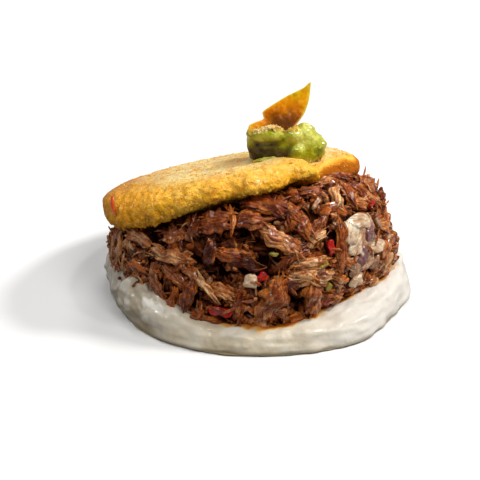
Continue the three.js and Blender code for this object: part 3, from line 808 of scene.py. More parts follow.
# Sets of cut pieces, in degrees and mm. Each row is an azimuth, share of the height, turn, length, width,
# curl, bend and taper. The lift is their height over the heap's skin.
vegetables = {
    "onionBits": {
        "thickness": 1.9, "lift": 1.5, "uneven": 0.5, "seed": 130,
        "rows": [(-39, 0.68, -16, 14, 5.4, 8, -2.2, -0.1), (-47, 0.62, 70, 9.0, 5.4, 8, 0.6, 0.2),
                 (-45.5, 0.53, 12, 7.2, 5.4, 7, 1.0, 0.2), (-29.5, 0.46, -24, 10.4, 4.8, 9, 0.8, -0.5),
                 (-94, 0.45, 6, 4.8, 4.6, 20), (-45, 0.31, -10, 5.8, 4.8, 14)]},
    "redOnionBits": {
        "thickness": 1.9, "lift": 1.4, "uneven": 0.5, "seed": 131,
        "rows": [(-35, 0.57, 10, 5.4, 5.0, 8), (-42, 0.45, 40, 6.2, 4.8, 8)]},
    "pepperBits": {
        "thickness": 1.6, "lift": 0.8, "uneven": 0.7, "seed": 132,
        "rows": [(-58, 0.585, 78, 4.8, 2.7, 12), (-89, 0.47, 40, 3.8, 3, 12), (-106, 0.22, -8, 8, 3.4, 12),
                 (-58.5, 0.19, -55, 5.4, 3.2, 12), (-23, 0.74, 20, 4, 2.2, 12)]},
    "oliveBits": {
        "thickness": 1.4, "lift": 1.4, "uneven": 0.5, "seed": 133,
        "rows": [(-64, 0.50, 12, 6.2, 2.6, 9), (-60, 0.33, 60, 3.0, 2.0, 9), (-84, 0.62, -30, 2.6, 1.6, 9)]},
    "softOnionBits": {
        "thickness": 1.5, "lift": 1.2, "uneven": 0.3, "seed": 134,
        "rows": [(-60, 0.87, 40, 5.0, 1.9, 6), (-48, 0.83, 8, 3.8, 1.5, 6), (-73, 0.54, 0, 4.2, 2.2, 6),
                 (-112, 0.44, 50, 4.0, 1.8, 6), (-64, 0.46, 30, 4.4, 2.6, 8),
                 (-25, 0.60, -48, 8.0, 2.8, 8, 1.2), (-33, 0.37, 20, 5.4, 2.8, 8),
                 (-30, 0.05, -20, 6.4, 2.6, 9), (-55, 0.30, 60, 3.6, 2.2, 8)]},
    # thinner slices that lie under the cluster of onion and between its pieces
    "onionLayers": {
        "thickness": 1.6, "lift": 0.75, "uneven": 0.6, "seed": 136,
        "rows": [(-40, 0.58, 70, 13, 9.0, 9), (-33, 0.62, 40, 9.0, 6.0, 8), (-33, 0.5, -30, 9.0, 6.4, 8),
                 (-46, 0.40, 80, 8.0, 4.6, 8), (-38, 0.40, 20, 8.0, 5.0, 8)]},
}

clearBits = columns(row[:4] for name in ("onionBits", "redOnionBits", "pepperBits", "oliveBits")
                    for row in vegetables[name]["rows"])
clearSpots, clearSizes = layOn(*clearBits[:2])[0], clearBits[3]


# Cut pieces lying on the heap: a cushion with squared sides, whose reach is cos^.35 of the slope, bent to its
# curl.
def cutPieces(name):
    kind = vegetables[name]
    azimuth, share, turn, *sizes = columns((*row, 0.0, 0.15)[:8] for row in kind["rows"])
    length, width, curl, bend, taper = (part[:, None, None] for part in sizes)
    rings, count, square, seed = 26, 44, 0.6, kind["seed"]
    slope, angle = slopes(rings)[:, None], angles(count)
    reach = np.cos(slope) ** 0.35
    x, y = reach * signedPower(np.cos(angle), square), reach * signedPower(np.sin(angle), square)
    y = y * (1 + taper * x)
    x = x + 0.18 * y
    z = signedPower(np.sin(slope), 0.8) + 0 * x
    local = np.stack([x * (length / 2), y * (width / 2) + bend * x ** 2, z * (kind["thickness"] / 2)], -1)
    fresh = local + np.random.default_rng(seed).uniform(-90, 90, (len(azimuth), 1, 1, 3))
    local = local + kind["uneven"] * drift(fresh, 2.2, seed, seed + 1, seed + 2)
    local = local + 0.6 * drift(fresh, 5.5, seed + 4, seed + 5, seed + 6) * (1, 1, 0.6)
    x, y, z = np.moveaxis(local, -1, 0)
    spots = inFrame(layOn(azimuth, share, turn), x, y, z - x ** 2 / (2 * curl) * 0.5 + kind["lift"])
    return makeMesh(name, closed(spots), shellFaces(rings, count, len(azimuth)),
                    {"cut": closed(fresh).reshape(-1, 3)})


# Onion with veins along its layers, and purple skin if asked for.
def onionMaterial(name, stops, purple=False):
    made = look(name, Roughness=0.25, Coat_Roughness=0.08, IOR=1.4,
                Subsurface_Weight=0.8, Subsurface_Scale=0.002, Subsurface_Radius=(1.0, 0.92, 0.84))
    cut = made.value("cut", "Vector")
    veins = cut.stretched(0.25, 1.6, 0.5).noise(1.1)
    made.ramp(veins, *stops)
    made.layers((made.place.noise(260.0).band(0.46, 0.68) * 0.7, 176, 122, 82))
    if purple:
        made.layers((cut.noise(0.32, 2.0, 0.5).band(0.26, 0.38) * 0.9, 100, 34, 52))
    film, roughness, ripple = made.wet(260.0, 0.32, 0.16)
    return made.finish(roughness, film * 0.6 + 0.4, (veins * 0.9 + ripple, 0.7, 0.0008))


# Wet pepper: from its deep to its bright colour by noise.
def pepperMaterial(name, deep, bright):
    made = look(name, Roughness=0.2, Coat_Roughness=0.06, IOR=1.4)
    cloud = made.place.noise(330.0)
    made.ramp(cloud, (0.35, *deep), (0.62, *bright))
    film, roughness, ripple = made.wet(280.0, 0.34, 0.14)
    return made.finish(roughness, film * 0.9, (cloud + ripple * 0.5, 0.3, 0.0004))


beef = {
    "coreInward": 3.0,       # mm that the dark core lies below the heap's skin
    "clumps": 1.5,           # mm, slow swelling of the meat
    "largeCount": 120,
    "seed": 41,
    # Scattered sets: how many and how many tries; lengths, widths and lifts in mm; the share that keeps to a
    # heading and that heading, if any; and the lean in degrees.
    "large": (420, 520, (5, 13), (3.0, 6.0), (-1.2, 0.6), (0.5, -25), 5),
    "shreds": (1000, 1900, (3.2, 8.5), (1.4, 3.2), (-2.3, 0.2), (0.4, -30), 10),
    "strands": (620, 1300, (3, 8), (0.3, 0.8), (-0.8, 1.2), None, 14),
    "nuggets": (1200, 2200, (1.0, 3.2), (0.6, 2.0), (-0.8, 1.6), None, 25),
    "flakes": (460, 1200, (2.0, 5.0), (1.6, 3.6), (-0.8, 1.0), None, 26),
    # Sets laid one by one: azimuth, share of the height, heading, length and width. The first of them, large
    # pieces, have a depth, a lift, a tone and a share of sauce too.
    "placed": [
        (-86, 0.92, -26, 15, 6.8, 4.2, 0.4, 0.34, 0.25), (-94, 0.84, -14, 11, 5.0, 4.0, 0.2, 0.52, 0.10),
        (-80, 0.70, -42, 15, 5.4, 3.8, 0.8, 0.66, 0.10), (-70, 0.76, -60, 9.5, 5.2, 3.6, 0.4, 0.45, 0.35),
        (-59, 0.94, -40, 8, 3.6, 3.0, 0.5, 0.35, 0.60), (-25, 0.96, -30, 12, 4.4, 3.4, 0.2, 0.30, 0.35),
        (-53, 0.58, 77, 15, 3.4, 3.0, 0.9, 0.40, 0.45), (-67, 0.51, -4, 12, 4.6, 3.0, 0.5, 0.70, 0.20),
        (-85, 0.31, 70, 14.5, 7.6, 5.0, 0.6, 0.46, 0.15), (-67, 0.29, 88, 14.5, 5.6, 4.4, 0.8, 0.42, 0.25),
        (-56, 0.24, -34, 10, 5.4, 3.8, 0.2, 0.40, 0.45), (-63, 0.40, 4, 8.5, 5.0, 3.4, 0.3, 0.70, 0.15),
        (-28, 0.13, 74, 10, 6.0, 4.2, 0.5, 0.70, 0.15), (-20, 0.28, 36, 9, 4.8, 3.4, 0.3, 0.66, 0.15),
        (-148, 0.78, -28, 11, 4.4, 3.0, 0.6, 0.74, 0.05), (-131, 0.62, -11, 16, 4.6, 3.4, 0.7, 0.74, 0.00),
        (-124, 0.84, -76, 6.4, 4.6, 3.2, 0.5, 0.38, 0.30), (-113, 0.86, 0, 10, 5.8, 3.8, 0.8, 0.36, 0.30),
        (-104, 0.86, -84, 10, 1.9, 1.6, 1.5, 0.60, 1.00), (-113, 0.66, 76, 8, 4.2, 3.0, 0.1, 0.25, 0.10),
        (-103, 0.64, -14, 8.5, 4.0, 3.0, 0.2, 0.40, 0.65), (-128, 0.46, -38, 10, 3.8, 2.6, 0.4, 0.60, 0.25),
        (-136, 0.34, -60, 9, 3.8, 2.6, 0.4, 0.56, 0.20), (-112, 0.41, -56, 8.5, 2.5, 2.0, 1.6, 0.86, 0.25),
        (-106, 0.37, -30, 8.5, 3.8, 2.8, 0.5, 0.74, 0.25), (-121, 0.34, 66, 12, 4.4, 3.2, 0.4, 0.46, 0.20),
        (-98, 0.26, 78, 12, 4.0, 3.2, 0.2, 0.45, 0.40), (-97, 0.57, -24, 10, 4.2, 3.2, -0.4, 0.20, 0.10),
        (-73, 0.60, 24, 8, 4.2, 3.0, 0.0, 0.36, 0.45), (-38, 0.86, 78, 9, 3.8, 3.0, 0.4, 0.38, 0.45),
        (-26, 0.85, -70, 9, 3.6, 3.0, 0.3, 0.45, 0.40), (-133, 0.80, 4, 9, 4.6, 3.2, -0.2, 0.62, 0.05),
        (-50, 0.80, -24, 9, 3.4, 2.8, 0.2, 0.40, 0.50), (-127, 0.25, 76, 10, 2.6, 2.2, 0.8, 0.34, 1.00),
        (-117.5, 0.19, 58, 6.6, 3.2, 2.6, 1.1, 0.50, 1.00), (-110, 0.88, 4, 9.5, 1.3, 1.1, 2.4, 0.70, 1.00),
        (-138, 0.45, 80, 9, 3.2, 2.0, 0.6, 0.66, 0.30), (-145, 0.51, -20, 7, 2.0, 1.6, 1.1, 0.55, 1.00),
        (-176, 0.60, 20, 5, 3.2, 2.2, 0.5, 0.50, 0.95), (-41, 0.06, -40, 7, 3.0, 2.2, 0.7, 0.60, 1.00),
        (-158, 0.66, 84, 9, 2.6, 1.6, 0.4, 0.84, 0.10), (-168, 0.50, 70, 8, 2.8, 1.8, 0.3, 0.75, 0.20),
        (-74, 0.13, -10, 7, 3.4, 2.6, 0.2, 0.45, 0.60), (-12, 0.62, 60, 9, 4.4, 3.2, 0.2, 0.60, 0.20),
        (-39, 0.965, -20, 9, 4.4, 3.4, 0.2, 0.66, 0.30), (-31, 0.975, 12, 10, 4.6, 3.4, 0.0, 0.50, 0.30),
        (-22, 0.965, -16, 9, 4.2, 3.2, 0.0, 0.66, 0.20), (-13, 0.96, -34, 9, 4.0, 3.0, 0.2, 0.50, 0.30),
        (-46, 0.87, 62, 8, 3.6, 3.0, 0.4, 0.78, 0.20), (-33, 0.78, -12, 8, 4.0, 3.0, 0.4, 0.72, 0.25),
        (-18, 0.75, -50, 8, 3.6, 3.0, 0.4, 0.68, 0.30), (-64, 0.66, 34, 7, 3.6, 2.8, 0.4, 0.80, 0.15),
    ],
    # thin pale strands that hang down the left end
    "hanging": [
        (-157, 0.62, 86, 9, 0.8), (-160, 0.56, -74, 8, 0.7), (-153, 0.50, 78, 9, 0.9),
        (-166, 0.62, -84, 8, 1.0), (-149, 0.46, -60, 7, 0.8), (-146, 0.40, -48, 8, 0.8),
    ],
    # thin strands that lie across the edges of the onion and pepper
    "crossing": [
        (-49, 0.60, 74, 8, 0.9), (-46, 0.50, 60, 6, 0.7), (-36, 0.70, -30, 7, 0.8), (-31, 0.52, 40, 6, 0.8),
        (-38, 0.47, -60, 7, 0.7), (-56, 0.56, -35, 5, 0.8), (-103, 0.235, 30, 6, 1.0),
        (-109, 0.25, -10, 6, 0.9), (-92, 0.43, -20, 5, 0.8), (-87, 0.44, 70, 4, 0.7),
        (-45, 0.275, 15, 6, 0.8), (-57, 0.21, 10, 5, 0.8), (-42, 0.35, 80, 5, 0.8), (-26, 0.42, 10, 5, 0.8),
    ],
    # ends that stick out past the silhouette, with a lean as well
    "loose": [
        (8, 0.93, 70, 12, 1.1, 58), (3, 0.86, 40, 11, 1.0, 52), (0, 0.75, 60, 10, 1.0, 48),
        (14, 0.95, 20, 12, 1.0, 56), (-4, 0.62, 30, 8, 0.9, 44), (-8, 0.95, 50, 11, 1.2, 55),
        (-24, 0.05, -30, 8, 1.2, 24), (-178, 0.70, 60, 7, 0.9, 40), (-14, 0.34, 20, 8, 1.0, 40),
    ],
}

# How the shreds of a set are made, in mm and radians. A pair is a range to draw from.
plainShred = {
    "deep": 1,               # times the depth that is asked for
    "span": math.inf,        # the longer ones bow more, by length^2 / span
    "bow": 0,                # mm that the ends dip towards the heap
    "sway": 0,               # mm that the middle swings sideways
    "twist": 0,              # radians from the middle to an end
    "roll": 0,               # radians about its own line
    "rings": 5,
    "count": 6,              # points round each ring
    "seed": 60,
    "ridge": 0.3,            # strength of the bundles of fibre
    "lump": 0.16,            # strength of the lumps
    "fray": 0.8,             # strength of the tears along the fibre at the ends
    "blunt": 3,              # power of the taper, blunter when it is higher
    "square": 1,             # power of the section, squarer when it is lower
}
shredKinds = {
    "placed": {"span": 340, "bow": 0.3, "sway": (-0.9, 0.9), "twist": (-0.5, 0.5), "roll": (-0.3, 0.3),
               "rings": 38, "count": 44, "ridge": 0.26, "fray": 1.9, "blunt": (3, 9), "lump": 0.24,
               "square": (0.6, 0.95)},
    "large": {"deep": (0.5, 0.85), "span": 300, "bow": 0.3, "sway": (-0.9, 0.9), "twist": (-0.6, 0.6),
              "roll": (-0.5, 0.5), "rings": 24, "count": 28, "ridge": 0.28, "fray": 2.0, "blunt": (3, 8),
              "seed": 70, "lump": 0.3, "square": (0.6, 1.0)},
    "shreds": {"deep": (0.55, 0.95), "span": 260, "sway": (-0.9, 0.9), "twist": (-0.9, 0.9),
               "roll": (-1.5, 1.5), "rings": 7, "count": 8, "fray": 1.8, "blunt": (2.5, 6), "seed": 80,
               "lump": 0.36},
    "strands": {"deep": 0.8, "bow": (0.4, 2.2), "sway": (-1.6, 1.6), "twist": (-1, 1), "roll": (-1.5, 1.5),
                "rings": 8, "count": 5, "ridge": 0.15, "fray": 0.3, "blunt": (2, 4), "seed": 90},
    "fringe": {"deep": 0.75, "bow": (-0.3, 0.9), "sway": (-0.5, 0.5), "twist": (-1, 1), "roll": (-1.5, 1.5),
               "rings": 7, "count": 5, "ridge": 0.15, "fray": 0.3, "blunt": (2, 4), "seed": 140},
    "nuggets": {"deep": (0.6, 1), "twist": (-0.5, 0.5), "roll": (-1.5, 1.5), "fray": 1.6, "blunt": (2, 4),
                "seed": 100, "lump": 0.5},
    "flakes": {"deep": (0.35, 0.8), "bow": (-0.4, 1.2), "sway": (-0.5, 0.5), "twist": (-1.6, 1.6),
               "roll": (-0.7, 0.7), "rings": 6, "count": 8, "ridge": 0.35, "fray": 2.4, "blunt": (2.5, 6),
               "seed": 105, "lump": 0.5},
    "hanging": {"deep": 0.7, "span": 240, "sway": 1.0, "twist": 0.4, "rings": 22, "count": 10, "ridge": 0.2,
                "fray": 0.4, "seed": 95},
    "loose": {"deep": 0.8, "bow": 0.4, "sway": 0.8, "twist": 0.4, "rings": 20, "count": 10, "seed": 97},
    "crossing": {"deep": 0.7, "span": 60, "sway": 0.5, "twist": 0.4, "rings": 18, "count": 10, "seed": 98},
    "crumbs": {"deep": (0.35, 0.8), "roll": (-1.5, 1.5), "ridge": 0.35, "fray": 1.6, "blunt": (2, 6),
               "lump": 0.9, "square": (0.6, 1)},
    "sliver": {"bow": 1.0, "sway": 0.3, "twist": 0.3, "rings": 26, "count": 14, "ridge": 0.1, "fray": 0.6,
               "seed": 170, "lump": 0.1},
}


# Shreds: each is a run of rings along a bent line. The radius follows (1 - |t|^blunt)^.5 of its length share
# t, squared off and flattened to width and depth. Bundles of fibre come from |noise| stretched along it,
# which is round on top and sharp in its valleys. The ends are frayed by moving their points along the fibre
# by noise.
def shredShells(kind, way, length, width, depth, lift, random=None, **own):
    style = {**plainShred, **shredKinds[kind], **own}
    rings, count, seed, copies = style["rings"], style["count"], style["seed"], len(length)

    def drawn(key):
        value = style[key]
        return random.uniform(*value, copies) if isinstance(value, tuple) else value

    deep, bow, sway, twist, roll, blunt, square = map(
        drawn, ("deep", "bow", "sway", "twist", "roll", "blunt", "square"))
    length, width, depth, lift, bow, sway, twist, roll, blunt, square = (
        np.asarray(value, float).reshape(-1, 1, 1)
        for value in (length, width, depth * deep, lift, bow, sway, twist, roll, blunt, square))
    bow = length ** 2 / style["span"] + bow
    t = np.concatenate([-np.cos((np.arange(rings) + 0.5) / rings * math.pi), [-1, 1]])[None, :, None]
    angle = angles(count)[None, None]
    offset = np.random.default_rng(seed).uniform(-200, 200, (copies, 1, 1, 3))
    middleLine = (t * length / 2)[..., None] * (1.0, 0, 0) + offset
    swell = np.clip(1 - np.abs(t) ** blunt, 0, 1) ** 0.5
    uneven = 1 + 0.3 * wander(middleLine, 3.2, seed + 1)
    across = signedPower(np.cos(angle), square) * width / 2 * swell * uneven
    above = signedPower(np.sin(angle), square) * depth / 2 * swell * uneven
    lengthwise = t * length / 2 + 0 * across
    fibre = np.stack([across, above, lengthwise], -1) + offset
    stretched = fibre * (1, 1, 0.13)
    groove = 2.2 * np.abs(wander(stretched, 1.3, seed + 2)) - 0.62 + 0.5 * wander(stretched, 0.6, seed + 3)
    lumps = wander(fibre * (1, 1, 0.6), 2.6, seed + 4) + 0.6 * wander(fibre * (1, 1, 0.4), 1.1, seed + 7)
    grow = 1 + style["ridge"] * groove + style["lump"] * lumps
    across, above = across * grow, above * grow
    torn = np.clip(np.abs(t) - 0.4, 0, 1) / 0.6
    ends = np.stack([across, above, np.sign(t) * 5 + 0 * across], -1) + offset
    lengthwise = lengthwise + style["fray"] * np.sign(t) * torn * wander(ends, 0.9, seed + 5) * length / 10
    c, s = np.cos(roll + twist * t), np.sin(roll + twist * t)
    bend = sway * (1 - t ** 2) + 0.07 * length * wander(middleLine + 7, 4.4, seed + 6)
    wideway = across * c - above * s + bend
    high = across * s + above * c + lift - bow * t ** 2
    edge = np.maximum(np.abs(np.cos(angle)) ** 5, np.abs(t) ** 6) + 0 * high
    # These mark the fibre's valleys, the height over the heap's skin, and the thin sides and ends. The
    # material paints shade in the valleys and below the skin, light on the crests, and a glow on the thin
    # edges.
    values = {"pit": np.clip(-groove * 1.5 - 0.1, 0, 1), "high": high, "edge": edge}
    values = {key: closed(value[..., None])[..., 0] for key, value in values.items()}
    return closed(inFrame(way, lengthwise, wideway, high)), shellFaces(rings, count, copies), {
        "fibre": closed(fibre), **values}


# False for pieces that stand high and whose line comes within reach of a piece of onion, pepper or olive.
def clearOfVegetables(way, length, width, margin, top):
    t = np.linspace(-0.5, 0.5, 5)[None, :, None]
    line = way[0][:, None] + way[1][:, None] * (length[:, None, None] * t)
    gap = np.linalg.norm(line[:, :, None] - clearSpots, axis=-1)
    free = (gap > clearSizes * 0.4 + width[:, None, None] * 0.35 + margin).all((1, 2))
    return free | (top < 0.7)


# Joins runs of shreds, each with its tone and sauce, into one piece. Of their values, high is the height over
# the heap's skin in mm, and edge is one at the thin sides and ends. The meat is paler at its left end and at
# its right foot.
def joinShreds(name, runs, material):
    values = {}
    for (spots, _, own), tone, sauce in runs:
        middle = spots.mean(1)
        azimuth = np.degrees(np.arctan2(middle[:, 1], middle[:, 0]))
        # painted shade: darker at the left front; paler at the far left end
        tone = tone - 0.06 * around(azimuth, -125, 20, 60) + 0.1 * around(azimuth, -166, 8, 18)
        tone = tone + 0.14 * around(azimuth, -30, 15, 40) * (1 - smooth(middle[:, 2], 12, 34))
        each = {"tone": tone[:, None], "sauce": (sauce + 0 * azimuth)[:, None]}
        for key, value in {**own, **{k: np.repeat(v, spots.shape[1], 1) for k, v in each.items()}}.items():
            values.setdefault(key, []).append(value.reshape(-1, *value.shape[2:]))
    points, faces = joined([run[0][:2] for run in runs])
    points[:, 2] = np.maximum(points[:, 2], 0.6)
    values = {key: np.concatenate(parts) for key, parts in values.items()}
    addPiece(makeMesh(name, points, faces, values), material, "beef", "shredded_beef")


# The core: the heap's skin moved inward, with lumps and grooves. Its low tone, low spots and depth below the
# skin are painted dark as the shade in the gaps between shreds.
def buildCore(material):
    rings, count = 110, 520
    slope, azimuth = slopes(rings)[:, None], (np.arange(count) / count * 360)[None]
    spots = closed(heapPoint(azimuth, slope, beef["coreInward"] - relief(heapPoint(azimuth, slope))), True)
    outward = unit(spots - np.array([0, 0, 20.0]))
    fibre = turned(spots + 4 * drift(spots, 12, 50, 51, 52), (0, 0.6, 0.8), 30)
    depth = 0.9 * rough(spots, 5, 3, 55) + 0.7 * wander(fibre * (1, 0.2, 1), 1.6, 54)
    spots = spots + outward * depth[:, None]
    spots[:, 2] = np.maximum(spots[:, 2], heap["bottom"])
    values = {"fibre": fibre, "pit": np.clip(0.35 - depth * 0.4, 0, 1), "tone": 0.2 + 0 * depth,
              "sauce": 0.15 + 0 * depth, "high": depth - beef["coreInward"] + 0.5, "edge": 0 * depth}
    addPiece(makeMesh("beefCore", spots, shellFaces(rings, count), values), material, "beef", "shredded_beef")


# Loose fibre ends for a set of large pieces: short strands that carry on past both ends and over the top.
def fringe(way, length, width, lift, each, random):
    n = len(length) * each
    origin, axis, side, outward, length, width, lift = (
        np.repeat(part, each, 0) for part in (*way, length, width, lift))
    atEnd = random.uniform(0, 1, n) < 0.7
    end = np.sign(random.uniform(-1, 1, n)) * random.uniform(0.32, 0.52, n)
    end = np.where(atEnd, end, random.uniform(-0.3, 0.3, n))
    shift = random.uniform(-0.42, 0.42, n)
    origin = origin + axis * (end * length)[:, None] + side * (shift * width)[:, None]
    spread = np.radians(random.normal(0, 16, n) + 22 * shift * np.sign(end))[:, None]
    tilt = np.radians(random.normal(0, 10, n))[:, None]
    axis = axis * np.cos(spread) + side * np.sin(spread)
    axis = unit(axis * np.cos(tilt) + outward * np.sin(tilt))
    side = unit(np.cross(outward, axis))
    way = origin, axis, side, np.cross(axis, side)
    strandLength, strandWidth = random.uniform(2.4, 6.5, n), random.uniform(0.35, 0.95, n)
    high = lift + width * 0.3 * (1 - (2 * shift) ** 2) - length ** 2 / 340 * (2 * end) ** 2
    return shredShells("fringe", way, strandLength, strandWidth, strandWidth,
                       high + random.uniform(-0.5, 0.4, n), random)


# The kept rows of a frame and of its sizes.
def sifted(kept, way, *sizes):
    return tuple(part[kept] for part in way), *(part[kept] for part in sizes)


# Picks scattered pieces that stay clear of the vegetables, and gives their frame and sizes.
def pick(random, count, tries, lengths, widths, lifts, heading, lean):
    azimuth = random.uniform(178, 428, tries) % 360
    share = random.uniform(0.02, 0.985, tries)
    length, width, lift = (random.uniform(*limits, tries) for limits in (lengths, widths, lifts))
    if heading:
        keeps = random.uniform(0, 1, tries) < heading[0]
        heading = np.where(keeps, random.normal(heading[1], 25, tries), random.uniform(-90, 90, tries))
    else:
        heading = random.uniform(-90, 90, tries)
    way = layOn(azimuth, share, heading, random.normal(0, lean, tries))
    swell = relief(way[0])
    lift = lift + swell
    free = clearOfVegetables(way, length, width, 0.1, lift + width * 0.4) & (swell > -3.2 + 0.4 * width)
    return sifted(np.flatnonzero(free)[:count], way, length, width, lift)


# The meat over the core, from the large pieces down to the bits. Each run has its own tone and sauce.
def buildBeef(material):
    random = np.random.default_rng(beef["seed"])

    def scattered(kind, depth=None):
        way, length, width, lift = pick(random, *beef[kind])
        return shredShells(kind, way, length, width, width if depth is None else depth, lift, random)

    def shaded(shells, *looks):
        return shells, *(np.clip(random.normal(*each, len(shells[0])), 0.05, 1) for each in looks)

    def laid(kind, lift, *looks):
        azimuth, share, heading, length, width, *lean = columns(beef[kind])
        return shredShells(kind, layOn(azimuth, share, heading, *lean), length, width, width, lift), *looks

    *spot, length, width, depth, lift, tone, sauce = columns(beef["placed"])
    way = layOn(*spot)
    placed = shredShells("placed", way, length, width, depth, lift + 0.3, random)
    placedFringe = fringe(way, length, width, lift, 8, random), np.repeat(tone, 8), np.repeat(sauce, 8)
    joinShreds("beefChunks", [(placed, tone, sauce)], material)
    # large pieces all round, kept apart from one another and from the placed ones
    way, length, width, lift = pick(random, *beef["large"])
    kept = []
    for i in np.flatnonzero(np.linalg.norm(way[0][:, None] - placed[0].mean(1), axis=-1).min(1) > 5.4):
        if all(np.linalg.norm(way[0][i] - way[0][j]) > 4.8 for j in kept):
            kept.append(i)
    way, length, width, lift = sifted(kept[:beef["largeCount"]], way, length, width, lift)
    large = shredShells("large", way, length, width, width, lift, random)
    tone = np.clip(random.normal(0.5, 0.24, len(length)), 0.08, 0.98)
    sauce = np.clip(random.normal(0.3, 0.3, len(length)), 0, 1)
    largeFringe = fringe(way, length, width, lift, 5, random), np.repeat(tone, 5), np.repeat(sauce, 5)
    joinShreds("beefPieces", [(large, tone, sauce)], material)
    joinShreds("beefShreds", [shaded(scattered("shreds"), (0.46, 0.26), (0.35, 0.3))], material)
    joinShreds("beefStrands", [
        laid("crossing", 2.3, 0.5, 0.6), shaded(scattered("strands"), (0.6, 0.22), (0.45, 0.35)),
        placedFringe, largeFringe, laid("hanging", 0.9, 0.9, 0.15),
        laid("loose", 0.8, 0.62, 0.8)], material)
    nuggets, tone, sauce = shaded(scattered("nuggets"), (0.5, 0.28), (0.45, 0.38))
    joinShreds("beefBits", [(nuggets, np.minimum(tone, 0.7), sauce),
                            shaded(scattered("flakes", 1.0), (0.5, 0.25), (0.6, 0.35))], material)


# Meat: the shred's tone plus streaks along the fibre, patches and grit, lighter on its crests as painted
# light; then sauce, golden edges of oily sauce and a painted glow through thin edges, painted shade in the
# pits, pale specks that are painted glints, and the painted shade between shreds laid over it.
def beefMaterial():
    made = look("shreddedBeef", Roughness=0.4, Coat_Roughness=0.1, IOR=1.42, Specular_IOR_Level=0.15,
                Subsurface_Weight=0.25, Subsurface_Scale=0.0012, Subsurface_Radius=(1.0, 0.42, 0.16))
    place, fibre = made.place, made.value("fibre", "Vector")
    high, tone = made.value("high"), made.value("tone")
    across, _, level = place.split()
    along = fibre.stretched(1.0, 1.0, 0.11)
    streak, hair = along.noise(1.9, 4.0, 0.65), along.noise(4.5, 2.0)
    grit, sauceNoise = place.noise(1500.0, 2.0, 0.7), place.noise(300.0)
    shown = high.band(-1.0, 0.7)
    for value, share in ((streak, 1.2), (fibre.noise(0.28), 1.3), (grit, 0.4)):
        tone = (value - 0.5) * share + tone
    # painted light: the tone rises on crests that stand well over the heap's skin
    made.ramp(maths("MAXIMUM", high.band(1.0, 3.2) * 0.12 + tone, 0.0), (0.0, 58, 18, 6), (0.2, 90, 28, 7),
              (0.42, 128, 52, 14), (0.62, 164, 86, 36), (0.82, 206, 136, 78), (1.0, 240, 190, 136))
    juicy = level.band(0.018, 0.009) * across.band(-0.008, 0.012)
    sauce = (juicy * 0.2 + (made.value("sauce") * 0.36 + sauceNoise)).band(0.66, 0.84)
    # golden thin edges: oily sauce and a painted glow of light through them
    oilAndEdgeGlow = made.value("edge").band(0.35, 1.0) * sauceNoise.band(0.4, 0.56)
    made.layers((streak.band(0.43, 0.35) * 0.4, 62, 24, 10),
                (across.band(-0.016, -0.044) * 0.32, 124, 92, 72),
                (sauce * 0.6, 196, 98, 26),
                (oilAndEdgeGlow * shown * 0.7, 228, 138, 52),
                # painted shade in the valleys of the fibre
                (made.value("pit") * 0.45, 60, 24, 10),
                # pale specks on raised parts: painted glints
                (place.noise(800.0, 2.0).band(0.64, 0.76) * shown * 0.5, 236, 176, 116),
                # painted shade between shreds, below the heap's skin
                (high.band(1.0, -2.2) * 0.84, 56, 20, 8))
    film, roughness, ripple = made.wet(420.0, 0.4, 0.1)
    return made.finish(maths("ADD", roughness, shown * -0.5 + 0.5, True), film * shown,
                       (grit * 0.4 + (ripple * 0.4 + (hair * 0.5 + streak)), 0.85, 0.0008))


guacamole = {
    "place": (9.2, -5.6, 50.2),
    "lean": 7,
    "middle": (0, 0, 5.0),
    # each lobe: place, radius, and its height as a share of its width
    "lobes": [(-10.2, -1.2, 7.0, 2.7, 1.9), (-10.2, -3.2, 11.4, 2.5, 0.9), (-7.6, -3.4, 11.2, 3.2, 0.8),
              (-3.6, -4.0, 11.4, 4.0, 0.66), (2.9, -4.2, 10.6, 3.2, 0.9), (6.9, -2.2, 9.7, 4.0, 1.05),
              (10.5, -1.8, 5.2, 3.8, 1.1), (7.6, -3.6, 3.6, 3.4, 1.0), (8.4, -3.0, 6.6, 4.0, 1.0),
              (4.2, -5.0, 4.8, 3.4, 0.9), (-4.6, -1.6, 4.6, 4.6, 1.0), (0, 0.4, 6.4, 6.6, 0.95),
              (2, 3.2, 5.4, 5.6, 1.0), (-5.4, 2.0, 6.4, 5.4, 1.0), (6.4, 2.0, 6.2, 5.6, 1.0)],
}


# True inside the dollop: the sum over its lobes of exp(-3.6((d/r)^2 - 1)) is one on its skin.
def inDollop(spots):
    total = 0
    for x, y, z, r, tall in guacamole["lobes"]:
        total = total + np.exp(-3.6 * ((((spots - (x, y, z)) / (1, 1, tall)) ** 2).sum(-1) / r ** 2 - 1))
    return total > 1


# Leans points of the dollop about its foot, then moves them onto the lid.
def dollopPlace(spots):
    return turned(spots, tiltAxis, guacamole["lean"]) + np.array(guacamole["place"])
